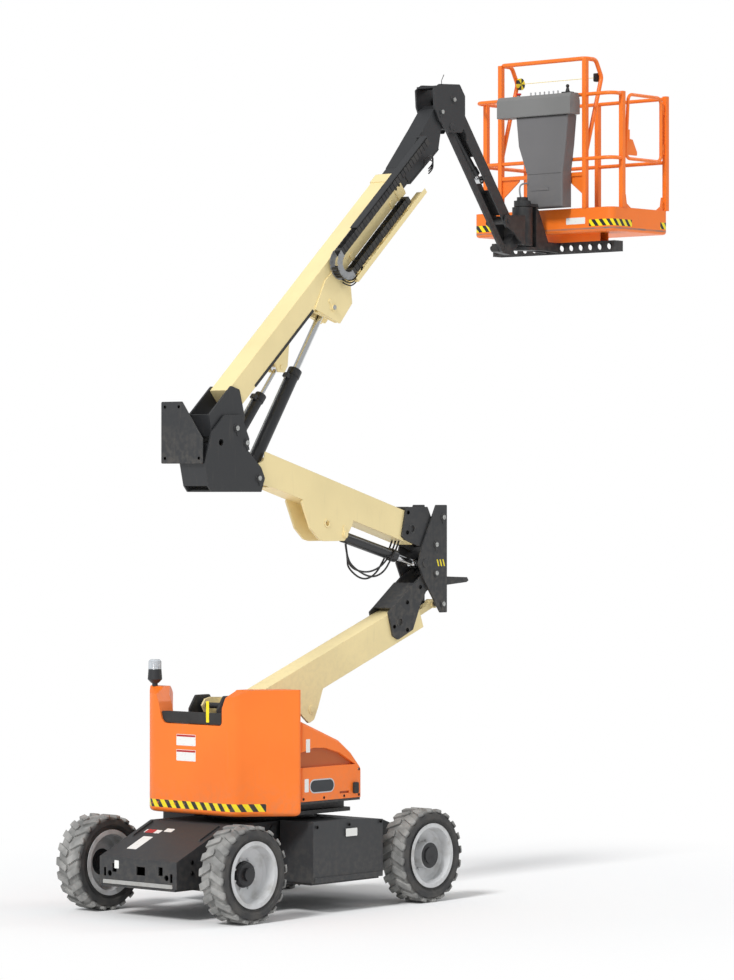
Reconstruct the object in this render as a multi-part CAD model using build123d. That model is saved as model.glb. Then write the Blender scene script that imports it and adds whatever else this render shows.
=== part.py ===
from build123d import *
from math import atan2, cos, degrees, radians, sin
import os

# Articulating boom lift, as parked in the photograph: tower raised a little, main boom up,
# jib hanging down. Lengths are millimetres, angles are degrees, X runs from the steer axle
# to the drive axle and towards the platform, Y to the left, Z up. Side points are (x, z) pairs.

# Chassis
WHEELBASE = 2030
OVERALL_WIDTH = 1730
TYRE_RADIUS = 363
TYRE_WIDTH = 240
TYRE_LUGS = 20
LUG_DEPTH = 17
RIM_RADIUS = 232
RIM_WALL = 17
HUB_RADIUS = 105
HUB_STUDS = 8
KING_PIN_Y = 590
KING_PIN_RADIUS = 25
FRAME_HALF = 400
FRAME_WALL = 12
FRAME_TOP = 690
SLEW_RADIUS = 400
SLEW_HEIGHT = 55
BATTERY_LENGTH = 800
BATTERY_HEIGHT = 470
BATTERY_DEPTH = 340
BATTERY_OUTER_Y = 785
BATTERY_WALL = 22
TIE_DOWN_RADIUS = 22
TIE_DOWN_Y = 295

# Turntable
TURN_GAP = 0.3
TURN_PLATE = 30
TAIL_RADIUS = 870
WEIGHT_BOTTOM = 752
WEIGHT_TOP = 1700
WEIGHT_WALL = 140
NOTCH_HALF = 330
NOTCH_FLOOR = 1430
HOOD_WALL = 8
HOOD_OUTER_Y = 745
RISER_Y = 137
RISER_WALL = 18

# Pins and running gaps
PIN_RADIUS = 22
PIN_GAP = 0.3
SIDE_GAP = 4
SPINDLE_RADIUS = 36
SEAT_GAP = 0.3

# Arm sections
ARM_HALF = 90
ARM_DEPTH = 250
ARM_WALL = 8
BRACKET_WALL = 16
UPRIGHT_WALL = 16
BOOM_HALF = 95
BOOM_DEPTH = 190
FLY_HALF = 75
FLY_DEPTH = 150
JIB_HALF = 80
JIB_WALL = 12

# Side points of the tower
TOWER_FOOT = (-520, 1560)
TOWER_TOP = (1935, 2530)
LINK_DROP = (85, -250)
LOWER_CYLINDER_BASE = (-560, 850)
LOWER_CYLINDER_EYE = (470, 1490)
MID_FOOT = (1935, 2760)
MID_TOP = (-180, 3290)
MID_CYLINDER_BASE = (865, 2850)
MID_CYLINDER_EYE = (1800, 2610)
LOWER_ANGLE = 20.3
MID_ANGLE = -15.6

# Side points of the boom and jib
BOOM_PIVOT = (-430, 3670)
BOOM_ANGLE = 42.2
BOOM_LENGTH = 2785
MAIN_CYLINDER_EYE = (710, 4630)
LEVEL_CYLINDER_BASE = (-320, 3560)
LEVEL_CYLINDER_EYE = (165, 4150)
MOUNT_PIVOT = (2040, 6260)
JIB_PIVOT = (2190, 6370)
JIB_LENGTH = 1186
JIB_ANGLE = -53.2
JIB_LINK_DROP = (-30, -220)
JIB_CYLINDER_BASE = (2256, 6158)
JIB_CYLINDER_REACH = 760
ROTATOR_X = 3200

# Platform
PLATFORM_X = 3460
PLATFORM_DEPTH = 784
PLATFORM_LENGTH = 1484
PLATFORM_FLOOR = 5372
TOE_TOP = 5546
TOE_BOTTOM = 5346
TOE_WALL = 14
TOE_CORNER = 60
RAIL_TOP = 6490
RAIL_MID = 5955
RAIL_RADIUS = 16
POST_HALF = 20
HOOP_TOP = 6790
GATE_POST_X = 3617

parts = {}


def offset_point(point, by):
    return (point[0] + by[0], point[1] + by[1])


def polar(point, length, angle):
    return (point[0] + length * cos(radians(angle)), point[1] + length * sin(radians(angle)))


def plate(points, y0, y1, radius=0, holes=()):
    """A flat plate cut to an outline of side points, from y0 to y1, with round holes."""
    if radius:
        outline = FilletPolyline(*points, radius=radius, close=True)
    else:
        outline = Polyline(*points, close=True)
    solid = extrude(Plane.XZ.offset(-y1) * make_face(outline), amount=y1 - y0)
    for x, z, hole in holes:
        solid -= rod_y((x, z), hole, y0 - 1, y1 + 1)
    return solid


def plates(points, inner, wall, radius=0, holes=()):
    """A pair of like plates either side of the centre line."""
    pair = plate(points, inner, inner + wall, radius, holes)
    return pair + plate(points, -inner - wall, -inner, radius, holes)


def rod_y(point, radius, y0, y1):
    """A round bar across the machine."""
    return Pos(point[0], (y0 + y1) / 2, point[1]) * Rot(90, 0, 0) * Cylinder(radius, y1 - y0)


def rod_z(x, y, radius, z0, z1):
    return Pos(x, y, (z0 + z1) / 2) * Cylinder(radius, z1 - z0)


def block(x0, x1, y0, y1, z0, z1):
    return Pos((x0 + x1) / 2, (y0 + y1) / 2, (z0 + z1) / 2) * Box(x1 - x0, y1 - y0, z1 - z0)


def tube(points, radius, bend, close=False):
    """A round tube bent along a route of points."""
    path = FilletPolyline(*points, radius=bend, close=close)
    start = path @ 0
    return sweep(Plane(start, z_dir=path % 0) * Circle(radius), path=path)


def tilted(solid, point, angle):
    """A piece drawn level at the origin, set on a side point and tilted up by an angle."""
    return Pos(point[0], 0, point[1]) * Rot(0, -angle, 0) * solid


def level(point, origin, angle):
    """A side point in the level drawing of a tilted piece."""
    x, z = point[0] - origin[0], point[1] - origin[1]
    a = radians(angle)
    return (x * cos(a) + z * sin(a), -x * sin(a) + z * cos(a))


def box_tube(u0, u1, w0, w1, half, wall):
    """A rectangular tube drawn level, open at both ends."""
    return block(u0, u1, -half, half, w0, w1) - block(
        u0 - 1, u1 + 1, wall - half, half - wall, w0 + wall, w1 - wall
    )


def barrel(length, radius, eye_half, eye_radius):
    """A cylinder barrel drawn along +X from the pin at its base."""
    body = Pos(length / 2 + eye_radius, 0, 0) * Rot(0, 90, 0) * Cylinder(radius, length - 2 * eye_radius)
    body += Pos(length - 30, 0, 0) * Rot(0, 90, 0) * Cylinder(radius + 6, 60)
    body += rod_y((0, 0), eye_radius, -eye_half, eye_half)
    body += block(0, 2 * eye_radius, -eye_half, eye_half, -eye_radius * 0.7, eye_radius * 0.7)
    return body


def piston_rod(start, end, radius, eye_half, eye_radius):
    """A chromed rod drawn along +X, ending in its eye at the origin-to-eye distance."""
    body = Pos((start + end) / 2, 0, 0) * Rot(0, 90, 0) * Cylinder(radius, end - start)
    body += rod_y((end, 0), eye_radius, -eye_half, eye_half)
    return body


def cylinder_pair(name, base, eye, bore, rod, case_length, rod_start, eye_half, pin=PIN_RADIUS):
    """A hydraulic cylinder between two side points: its barrel and its rod, as two nodes."""
    length = ((eye[0] - base[0]) ** 2 + (eye[1] - base[1]) ** 2) ** 0.5
    angle = degrees(atan2(eye[1] - base[1], eye[0] - base[0]))
    end_radius = pin + 14
    case = barrel(case_length, bore, eye_half, end_radius)
    case -= rod_y((0, 0), pin + PIN_GAP, -eye_half - 1, eye_half + 1)
    inner = end_radius + 14
    cavity = Pos((inner + case_length) / 2 + 5, 0, 0) * Rot(0, 90, 0) * Cylinder(
        rod + PIN_GAP, case_length - inner + 10
    )
    piston = piston_rod(rod_start, length, rod, eye_half, end_radius)
    piston -= rod_y((length, 0), pin + PIN_GAP, -eye_half - 1, eye_half + 1)
    parts[name + "_barrel"] = tilted(case - cavity, base, angle)
    parts[name + "_rod"] = tilted(piston, base, angle)


def rounded(solid, radius, axis=Axis.Z):
    return fillet(solid.edges().filter_by(axis), radius)


# Chassis frame: a welded box whose top slopes down to both ends
def chassis_frame():
    half_base = WHEELBASE / 2
    end = half_base + 350
    w = FRAME_WALL
    outline = [
        (-end, 250), (-end, 452), (-820, FRAME_TOP), (400, FRAME_TOP), (950, 625), (1180, 545), (1180, 250),
    ]
    inner = [
        (-end + w, 250 + w), (-end + w, 445), (-815, FRAME_TOP - w), (395, FRAME_TOP - w), (945, 612),
        (1180 - w, 535), (1180 - w, 250 + w),
    ]
    frame = plate(outline, -FRAME_HALF, FRAME_HALF) - plate(inner, w - FRAME_HALF, FRAME_HALF - w)
    for x, y, z in ((-end + w / 2, TIE_DOWN_Y, 330), (1180 - w / 2, TIE_DOWN_Y, 330)):
        for side in (-1, 1):
            frame -= Pos(x, side * y, z) * Rot(0, 90, 0) * Cylinder(TIE_DOWN_RADIUS, w + 2)
    for y, width, z in ((-345, 26, 330), (-235, 44, 375), (-30, 90, 365), (245, 44, 375), (345, 26, 340)):
        frame -= block(-end - 1, -end + w + 1, y - width / 2, y + width / 2, z - 32, z + 32)
    frame += block(-end + 4, -700, 20 - FRAME_HALF, FRAME_HALF - 20, 232, 251)
    ridge = [(-1080, 566), (-1060, 600), (-860, 690), (-840, 674)]
    for side in (-1, 1):
        frame += plate(ridge, *sorted((side * (FRAME_HALF - 60), side * (FRAME_HALF - 48))))
        y0, y1 = sorted((side * (FRAME_HALF - 1), side * (KING_PIN_Y - 50)))
        beam = block(-half_base - 65, -half_base + 65, y0, y1, 300, 426)
        frame += beam - block(-half_base - 45, -half_base + 45, y0 - 20, y1 + 20, 320, 406)
        ear0, ear1 = sorted((side * (KING_PIN_Y - 70), side * (KING_PIN_Y + 10)))
        for z in (292, 406):
            ear = block(-half_base - 42, -half_base + 42, ear0, ear1, z, z + 28)
            ear += rod_z(-half_base, side * (KING_PIN_Y + 2), 42, z, z + 28)
            frame += ear - rod_z(-half_base, side * KING_PIN_Y, KING_PIN_RADIUS + PIN_GAP, z - 1, z + 29)
        hub = (OVERALL_WIDTH - TYRE_WIDTH) / 2
        y0, y1 = sorted((side * (FRAME_HALF - 1), side * (hub - 145)))
        frame += rod_y((half_base, TYRE_RADIUS), 78, y0, y1)
        y0, y1 = sorted((side * (hub - 185), side * (hub - 73)))
        frame += rod_y((half_base, TYRE_RADIUS), 118, y0, y1)
        stub = sorted((side * (hub - 75), side * hub))
        frame += rod_y((half_base, TYRE_RADIUS), SPINDLE_RADIUS, *stub)
        y0, y1 = sorted((side * (FRAME_HALF - 1), side * (BATTERY_OUTER_Y - 30)))
        frame += block(-270, 500, y0, y1, 222, 240)
        y0, y1 = sorted((side * (FRAME_HALF - 70), side * FRAME_HALF))
        frame += block(-270, 500, y0, y1, 222, 251)
        rib = [(-290, 300), (-290, 660), (-330, 660), (-620, 330), (-620, 300)]
        frame += plate(rib, *sorted((side * (FRAME_HALF - 1), side * (FRAME_HALF + 11))))
    return frame


def battery_box(side):
    y0, y1 = sorted((side * BATTERY_OUTER_Y, side * (BATTERY_OUTER_Y - BATTERY_DEPTH)))
    x0, z0 = -285, 240 + SEAT_GAP
    x1 = x0 + BATTERY_LENGTH
    w = BATTERY_WALL
    outline = [(x0, z0), (x0, 702), (120, 702), (x1, 676), (x1, z0)]
    inner = [(x0 + w, z0 + w), (x0 + w, 702 - w), (118, 702 - w), (x1 - w, 676 - w), (x1 - w, z0 + w)]
    case = plate(outline, y0, y1) - plate(inner, y0 + w, y1 - w)
    lip0, lip1 = sorted((side * (BATTERY_OUTER_Y - 2), side * (BATTERY_OUTER_Y + 10)))
    case += block(x0 + 14, x1 - 14, lip0, lip1, z0, z0 + 36)
    return case


def slew_ring():
    ring = Cylinder(SLEW_RADIUS, SLEW_HEIGHT) - Cylinder(SLEW_RADIUS - 110, SLEW_HEIGHT)
    return Pos(0, 0, FRAME_TOP + SLEW_HEIGHT / 2) * ring


def steer_knuckle(side):
    x = -WHEELBASE / 2
    y = side * KING_PIN_Y
    body = rod_z(x, y, KING_PIN_RADIUS, 270, 456)
    body += rod_z(x, y, 44, 324, 402)
    spindle = sorted((y, side * (OVERALL_WIDTH - TYRE_WIDTH) / 2))
    body += rod_y((x, TYRE_RADIUS), SPINDLE_RADIUS, *spindle)
    body += rod_z(x, y, 40, 226, 286.5)
    y0, y1 = sorted((y - side * 28, y + side * 28))
    body += block(x, x + 170, y0, y1, 226, 246)
    return body


def tie_rod():
    x = -WHEELBASE / 2 + 150
    body = Pos(x, 0, 204) * Rot(90, 0, 0) * Cylinder(16, 2 * KING_PIN_Y - 30)
    for side in (-1, 1):
        body += rod_z(x, side * (KING_PIN_Y - 10), 26, 185, 226 - SEAT_GAP)
    return body


# Wheels: a solid tyre and a dished rim with its hub
def tyre_shape():
    half = TYRE_WIDTH / 2
    bead = RIM_RADIUS + PIN_GAP
    base = TYRE_RADIUS - LUG_DEPTH
    side_line = [(bead, 100), (bead + 34, 104), (bead + 56, half - 2), (base - 22, half - 3), (base, half - 24)]
    section = [(r, -y) for r, y in side_line] + side_line[::-1]
    tyre = revolve(Plane.XZ * make_face(Polyline(*section, close=True)), Axis.Z)
    bar = Pos(base + LUG_DEPTH / 2 - 6, 0, half / 2 + 1) * Rot(-28, 0, 0) * Box(LUG_DEPTH + 12, 50, half + 10)
    slab = revolve(Plane.XZ * make_face(Polyline(
        (base - 12, 3), (TYRE_RADIUS, 3), (TYRE_RADIUS, half - 12), (TYRE_RADIUS - 12, half), (base - 12, half),
        close=True)), Axis.Z)
    step = 360 / TYRE_LUGS
    for k in range(TYRE_LUGS):
        lug = Rot(0, 0, k * step) * bar & slab
        tyre += lug
        tyre += Rot(0, 0, step / 2) * mirror(lug, Plane.XY)
    return tyre


def rim_shape(drive):
    half = TYRE_WIDTH / 2
    inner = RIM_RADIUS - RIM_WALL
    section = [
        (inner, -half + 4), (RIM_RADIUS + 18, -half + 4), (RIM_RADIUS + 18, -half + 9),
        (RIM_RADIUS, -half + 14), (RIM_RADIUS, half - 14), (RIM_RADIUS + 18, half - 9),
        (RIM_RADIUS + 18, half - 4), (inner + 4, half - 4), (inner, half - 30), (inner - 12, 40), (inner - 30, 22),
        (150, 10), (126, 2), (60, 2), (60, -14), (132, -14), (160, -4), (inner - 20, 4), (inner, -30),
    ]
    rim = revolve(Plane.XZ * make_face(Polyline(*section, close=True)), Axis.Z)
    if drive:
        hub = Pos(0, 0, 46) * Cylinder(HUB_RADIUS, 92) - Pos(0, 0, -4) * Cylinder(SPINDLE_RADIUS, 20)
        hub = chamfer(hub.edges().filter_by(GeomType.CIRCLE).sort_by(Axis.Z)[-1], 8)
        hub += Pos(0, 0, 96) * Cylinder(HUB_RADIUS - 40, 14)
    else:
        hub = Pos(0, 0, 22) * Cylinder(92, 44) - Pos(0, 0, -4) * Cylinder(SPINDLE_RADIUS, 20)
        hub = chamfer(hub.edges().filter_by(GeomType.CIRCLE).sort_by(Axis.Z)[-1], 10)
        hub += Pos(0, 0, 56) * Cylinder(50, 26)
    for k in range(HUB_STUDS):
        a = radians((k + 0.5) * 360 / HUB_STUDS)
        hub += Pos(114 * cos(a), 114 * sin(a), 10) * Cylinder(9, 20)
    hub += Pos(0, 0, -10) * (Cylinder(70, 40) - Cylinder(SPINDLE_RADIUS + PIN_GAP, 40))
    return rim + hub


def wheel_at(solid, axle, side):
    centre_y = side * (OVERALL_WIDTH - TYRE_WIDTH) / 2
    return Pos(axle * WHEELBASE / 2, centre_y, TYRE_RADIUS) * Rot(-90 * side, 0, 0) * solid


# Turntable
def turntable_frame():
    z0 = FRAME_TOP + SLEW_HEIGHT + TURN_GAP
    base = Pos(0, 0, z0 + TURN_PLATE / 2) * Cylinder(560, TURN_PLATE)
    base += block(-380, 300, -640, 640, z0, z0 + TURN_PLATE)
    riser = [
        (-660, 1540), (-590, 1640), (-440, 1640), (-380, 1500), (60, 1180), (200, z0 + 20),
        (-640, z0 + 20), (-660, 1000),
    ]
    frame = base + plates(riser, RISER_Y, RISER_WALL, radius=20)
    frame += block(WEIGHT_WALL - 805 + SEAT_GAP, -630, -260, 260, z0, 1380)
    for side in (-1, 1):
        y0, y1 = sorted((side * 320, side * (HOOD_OUTER_Y - 6)))
        frame += block(-375, 300, y0, y1, 835, 855 - SEAT_GAP)
        y0, y1 = sorted((side * 560, side * 576))
        frame += block(-375, 300, y0, y1, z0 + 10, 840)
    frame -= Pos(0, 0, z0) * Cylinder(150, 200)
    link_foot = offset_point(TOWER_FOOT, LINK_DROP)
    for point in (TOWER_FOOT, link_foot, LOWER_CYLINDER_BASE):
        frame += rod_y(point, PIN_RADIUS, -RISER_Y - RISER_WALL - 6, RISER_Y + RISER_WALL + 6)
    return frame


def counterweight():
    plan = [(-805, -430), (-805, 430), (-385, 785), (-385, -785)]
    height = WEIGHT_TOP - WEIGHT_BOTTOM
    solid = Pos(0, 0, WEIGHT_BOTTOM) * extrude(make_face(Polyline(*plan, close=True)), amount=height)
    rear = solid.edges().filter_by(Axis.Z).filter_by(lambda e: e.center().X < -700)
    solid = fillet(rear, 150)
    front = solid.edges().filter_by(Axis.Z).filter_by(lambda e: abs(e.center().Y) > 700)
    solid = fillet(front, 22)
    solid -= plate([(-900, 1590), (-900, 1760), (-650, 1760), (-720, 1690)], -900, 900)
    solid -= plate([(-300, 1760), (-300, 1600), (-480, 1672), (-600, 1702), (-600, 1760)], 0, 900)
    bottom = solid.edges().filter_by(lambda e: abs(e.center().Z - WEIGHT_BOTTOM) < 1 and e.center().X < -395)
    solid = fillet(bottom, 34)
    inner = WEIGHT_WALL
    pocket = [(inner - 805, -350), (inner - 805, 350), (-340, 620), (-340, -620)]
    solid -= Pos(0, 0, WEIGHT_BOTTOM - 1) * extrude(make_face(Polyline(*pocket, close=True)), amount=1100)
    notch = FilletPolyline(
        (-NOTCH_HALF, NOTCH_FLOOR), (NOTCH_HALF - 40, NOTCH_FLOOR), (NOTCH_HALF, 1590), (NOTCH_HALF + 70, WEIGHT_TOP + 60),
        (-NOTCH_HALF - 90, WEIGHT_TOP + 60), (-NOTCH_HALF, 1560), radius=[30, 60, 60, 0, 0, 60], close=True,
    )
    solid -= Pos(-200, 0, 0) * extrude(Plane.YZ * make_face(notch), amount=-800)
    return solid


def hood(side):
    w = HOOD_WALL
    x0, x1 = -375, 300
    outline = [(x0, 855), (x1, 855), (x1, 1095), (200, 1200), (60, 1300), (x0, 1465)]
    inner = [
        (x0 + w, 850), (x1 - w, 850), (x1 - w, 1095 - w), (200 - w, 1200 - w), (60 - w, 1300 - w), (x0 + w, 1465 - 2 * w),
    ]
    y0, y1 = sorted((side * 300, side * HOOD_OUTER_Y))
    shell = plate(outline, y0, y1)
    outer_edges = shell.edges().filter_by(lambda e: abs(e.center().Y) > HOOD_OUTER_Y - 1 and e.center().Z > 1100)
    shell = fillet(outer_edges, 26)
    shell -= plate(inner, y0 + 34, y1 - 34)
    scoop = [(x0 - 1, 1110), (240, 1110), (60, 1205), (-100, 1250), (-240, 1258), (x0 - 1, 1225)]
    cut0, cut1 = sorted((side * (HOOD_OUTER_Y - 24), side * (HOOD_OUTER_Y + 1)))
    shell -= plate(scoop, cut0, cut1)
    slot0, slot1 = sorted((side * (HOOD_OUTER_Y - 14), side * (HOOD_OUTER_Y + 1)))
    shell -= block(60, 170, slot0, slot1, 895, 912)
    return shell


def beacon():
    x, y, foot = -700, 470, WEIGHT_TOP + SEAT_GAP
    stand = rod_z(x, y, 22, foot, foot + 26)
    cup = Polyline((0, foot + 24), (30, foot + 24), (56, foot + 52), (50, foot + 130), (50, foot + 190), (36, foot + 204),
                   (0, foot + 204), close=True)
    return stand + Pos(x, y, 0) * revolve(Plane.XZ * make_face(cup), Axis.Z)


# Tower
def lower_arm():
    end_u = level(TOWER_TOP, TOWER_FOOT, LOWER_ANGLE)[0]
    centre = level((1000, 1928), TOWER_FOOT, LOWER_ANGLE)[1]
    w0, w1 = centre - ARM_DEPTH / 2, centre + ARM_DEPTH / 2
    arm = box_tube(150, end_u - 260, w0, w1, ARM_HALF, ARM_WALL)
    foot = [(-50, 20), (0, 52), (60, 44), (300, w1), (300, w0 + 70), (162, w0 + 107), (-40, -40)]
    arm += plates(foot, ARM_HALF, BRACKET_WALL, radius=8, holes=[(0, 0, PIN_RADIUS + PIN_GAP)])
    eye_u = level(LOWER_CYLINDER_EYE, TOWER_FOOT, LOWER_ANGLE)[0]
    arm -= block(eye_u - 80, eye_u + 80, -54, 54, w0 - 1, w0 + ARM_WALL + 1)
    arm = tilted(arm, TOWER_FOOT, LOWER_ANGLE)
    lug = [(250, 1650), (640, 1700), (600, 1640), (545, 1500), (500, 1410), (440, 1385), (370, 1440), (240, 1560)]
    arm += plates(lug, ARM_HALF - 20, 20, radius=14)
    for side in (-1, 1):
        outer = side * (ARM_HALF + 8)
        arm += rod_y(LOWER_CYLINDER_EYE, PIN_RADIUS, *sorted((side * 56, outer)))
        arm += rod_y(LOWER_CYLINDER_EYE, PIN_RADIUS + 14, *sorted((side * (ARM_HALF - 1), side * (ARM_HALF + 5))))
    return arm


def lower_arm_bracket():
    outline = [
        (1370, 2225), (1425, 2035), (1490, 2005), (1670, 2080), (1768, 2290), (1830, 2380), (1990, 2475),
        (1990, 2560), (1935, 2590), (1760, 2500),
    ]
    inner = ARM_HALF + SEAT_GAP
    edge = inner + BRACKET_WALL
    pair = plates(outline, inner, BRACKET_WALL, radius=14)
    pair -= rod_y(TOWER_TOP, PIN_RADIUS + PIN_GAP, -edge - 1, edge + 1)
    for side in (-1, 1):
        y0, y1 = sorted((side * (edge - 1), side * (edge + 3)))
        boss = rod_y((1510, 2145), 40, y0, y1) - rod_y((1510, 2145), 27, y0 - 1, y1 + 1)
        pair += boss
        pair -= rod_y((1510, 2145), 27, *sorted((side * (edge - 8), side * (edge + 4))))
    cover = [(1428, 2250), (1690, 2445), (1683, 2455), (1420, 2260)]
    pair += plate(cover, -edge, edge)
    return pair


def lower_link():
    foot = offset_point(TOWER_FOOT, LINK_DROP)
    head = offset_point(TOWER_TOP, LINK_DROP)
    length = ((head[0] - foot[0]) ** 2 + (head[1] - foot[1]) ** 2) ** 0.5
    angle = degrees(atan2(head[1] - foot[1], head[0] - foot[0]))
    bar = block(30, length - 30, -30, 30, -24, 24)
    for u in (0, length):
        bar += rod_y((u, 0), PIN_RADIUS + 14, -40, 40)
    for u in (0, length):
        bar -= rod_y((u, 0), PIN_RADIUS + PIN_GAP, -41, 41)
    return tilted(bar, foot, angle)


def mid_upright():
    outline = [
        (1990, 2210), (2070, 2210), (2070, 3080), (1940, 3080), (1760, 2740), (1720, 2610), (1790, 2470),
    ]
    inner = ARM_HALF + BRACKET_WALL + SIDE_GAP
    frame = plates(outline, inner, UPRIGHT_WALL, radius=10)
    edge = inner + UPRIGHT_WALL
    frame += block(2054, 2070, -edge, edge, 2420, 2700)
    guide = [
        (2069, 2372), (2108, 2366), (2132, 2392), (2150, 2430), (2400, 2448), (2424, 2462), (2405, 2488),
        (2150, 2498), (2110, 2486), (2069, 2486),
    ]
    frame += plate(guide, -60, 60)
    frame -= plate([(2150, 2420), (2430, 2440), (2430, 2455), (2150, 2470)], -48, 48)
    head = offset_point(TOWER_TOP, LINK_DROP)
    mid_head = offset_point(MID_FOOT, (90, 220))
    for point in (TOWER_TOP, head, MID_FOOT):
        frame += rod_y(point, PIN_RADIUS, -edge - 8, edge + 8)
    for side in (-1, 1):
        frame += rod_y(mid_head, PIN_RADIUS, *sorted((side * inner, side * (edge + 8))))
        for point in (TOWER_TOP, head, MID_FOOT, mid_head):
            keeper = block(-10, 52, -3, 3, -13, 13) + rod_y((0, 0), PIN_RADIUS + 10, -3, 3)
            frame += Pos(point[0], side * (edge + 2), point[1]) * Rot(0, 90, 0) * keeper
    for side in (-1, 1):
        frame += rod_y(MID_CYLINDER_EYE, PIN_RADIUS, *sorted((side * 42, side * (inner + 1))))
        frame += rod_y(MID_CYLINDER_EYE, PIN_RADIUS + 12, *sorted((side * (edge - 1), side * (edge + 6))))
    return frame


def mid_arm():
    foot_u = level(MID_TOP, MID_FOOT, MID_ANGLE)[0]
    w0 = 56 - ARM_DEPTH / 2
    w1 = 56 + ARM_DEPTH / 2 - 10
    arm = box_tube(foot_u + 60, -250, w0, w1, ARM_HALF, ARM_WALL)
    slot = block(foot_u - 10, foot_u + 1200, -62, 62, w1 - 2 * ARM_WALL, w1 + 1)
    slot += Pos(foot_u + 1200, 0, w1) * Cylinder(62, 4 * ARM_WALL)
    arm -= slot
    arm -= block(foot_u - 10, foot_u + 220, ARM_WALL - ARM_HALF, ARM_HALF - ARM_WALL, w0 - 1, w1 + 1)
    cheek = [
        (foot_u - 50, w0 - 20), (foot_u + 300, w0), (foot_u + 300, w1), (foot_u + 160, w1), (foot_u - 50, 20),
    ]
    cheeks = plates(cheek, ARM_HALF - 2 * ARM_WALL, 2 * ARM_WALL, radius=18)
    cheeks -= rod_y(level(MID_TOP, MID_FOOT, MID_ANGLE), PIN_RADIUS + PIN_GAP, -ARM_HALF - 1, ARM_HALF + 1)
    arm = tilted(arm + cheeks, MID_FOOT, MID_ANGLE)
    lug = [(350, 3130), (460, 2900), (560, 2815), (620, 2800), (860, 2800), (905, 2860), (965, 2945), (900, 3060)]
    arm += plates(lug, ARM_HALF - 20, 20, radius=16)
    for side in (-1, 1):
        y0, y1 = sorted((side * (ARM_HALF - 21), side * (ARM_HALF + 4)))
        arm += rod_y((656, 2940), 36, y0, y1) - rod_y((656, 2940), 22, y0 - 1, y1 + 1)
        arm -= rod_y((656, 2940), 22, y0, y1)
        keeper = block(-12, 70, -3, 3, -14, 14) + rod_y((0, 0), PIN_RADIUS + 9, -3, 3)
        arm += Pos(MID_CYLINDER_BASE[0], side * (ARM_HALF + 3), MID_CYLINDER_BASE[1]) * Rot(0, -100, 0) * keeper
    arm += rod_y(MID_CYLINDER_BASE, PIN_RADIUS, -ARM_HALF - 12, ARM_HALF + 12)
    return arm


def mid_arm_bracket():
    outline = [
        (1590, 3065), (1535, 2830), (1575, 2800), (1900, 2700), (1985, 2720), (2000, 2790), (1850, 3065),
    ]
    inner = ARM_HALF + SEAT_GAP
    edge = inner + BRACKET_WALL
    pair = plates(outline, inner, BRACKET_WALL, radius=12, holes=[(*MID_FOOT, PIN_RADIUS + PIN_GAP)])
    for side in (-1, 1):
        y0, y1 = sorted((side * (edge - 1), side * (edge + 3)))
        pair += rod_y((1660, 2890), 40, y0, y1) - rod_y((1660, 2890), 27, y0 - 1, y1 + 1)
        pair -= rod_y((1660, 2890), 27, *sorted((side * (edge - 8), side * (edge + 4))))
    return pair + block(1612, 1836, -edge, edge, 3050, 3062)


def upper_upright():
    outline = [
        (-700, 3185), (-150, 3185), (-110, 3290), (-150, 3370), (-300, 3500), (-285, 3590), (-310, 3640),
        (-370, 3770), (-560, 3770), (-700, 3640), (-780, 3400), (-740, 3230),
    ]
    inner = BOOM_HALF + SEAT_GAP + BRACKET_WALL + SIDE_GAP
    edge = inner + UPRIGHT_WALL
    frame = plates(outline, inner, UPRIGHT_WALL, radius=12, holes=[(-600, 3560, 26)])
    frame += block(-690, -420, -edge, edge, 3185, 3201)
    rear = [(-780, 3400), (-730, 3550), (-716, 3545), (-766, 3396)]
    frame += plate(rear, -edge, edge)
    low = [(-740, 3230), (-780, 3400), (-766, 3398), (-726, 3236)]
    frame += plate(low, -edge, edge)
    for point in (MID_TOP, BOOM_PIVOT, LEVEL_CYLINDER_BASE):
        frame += rod_y(point, PIN_RADIUS, -edge - 10, edge + 10)
        for side in (-1, 1):
            keeper = block(-10, 60, -3, 3, -13, 13) + rod_y((0, 0), PIN_RADIUS + 10, -3, 3)
            frame += Pos(point[0], side * (edge + 2), point[1]) * Rot(0, 70, 0) * keeper
    return frame


def valve_guard():
    outline = [(300, 3400), (300, 3870), (85, 3870), (-128, 3590), (-128, 3400)]
    panel = Pos(-806, 0, 0) * extrude(Plane.YZ * make_face(FilletPolyline(*outline, radius=12, close=True)), amount=10)
    panel += block(-806, -740, 288, 300, 3412, 3858)
    edge = BOOM_HALF + SEAT_GAP + BRACKET_WALL + SIDE_GAP + UPRIGHT_WALL
    panel += block(-798, -740, edge + SEAT_GAP, 290, 3400, 3410)
    return panel


# Main boom
def boom_level(point):
    return level(point, BOOM_PIVOT, BOOM_ANGLE)


BOOM_BOTTOM = 63


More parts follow.
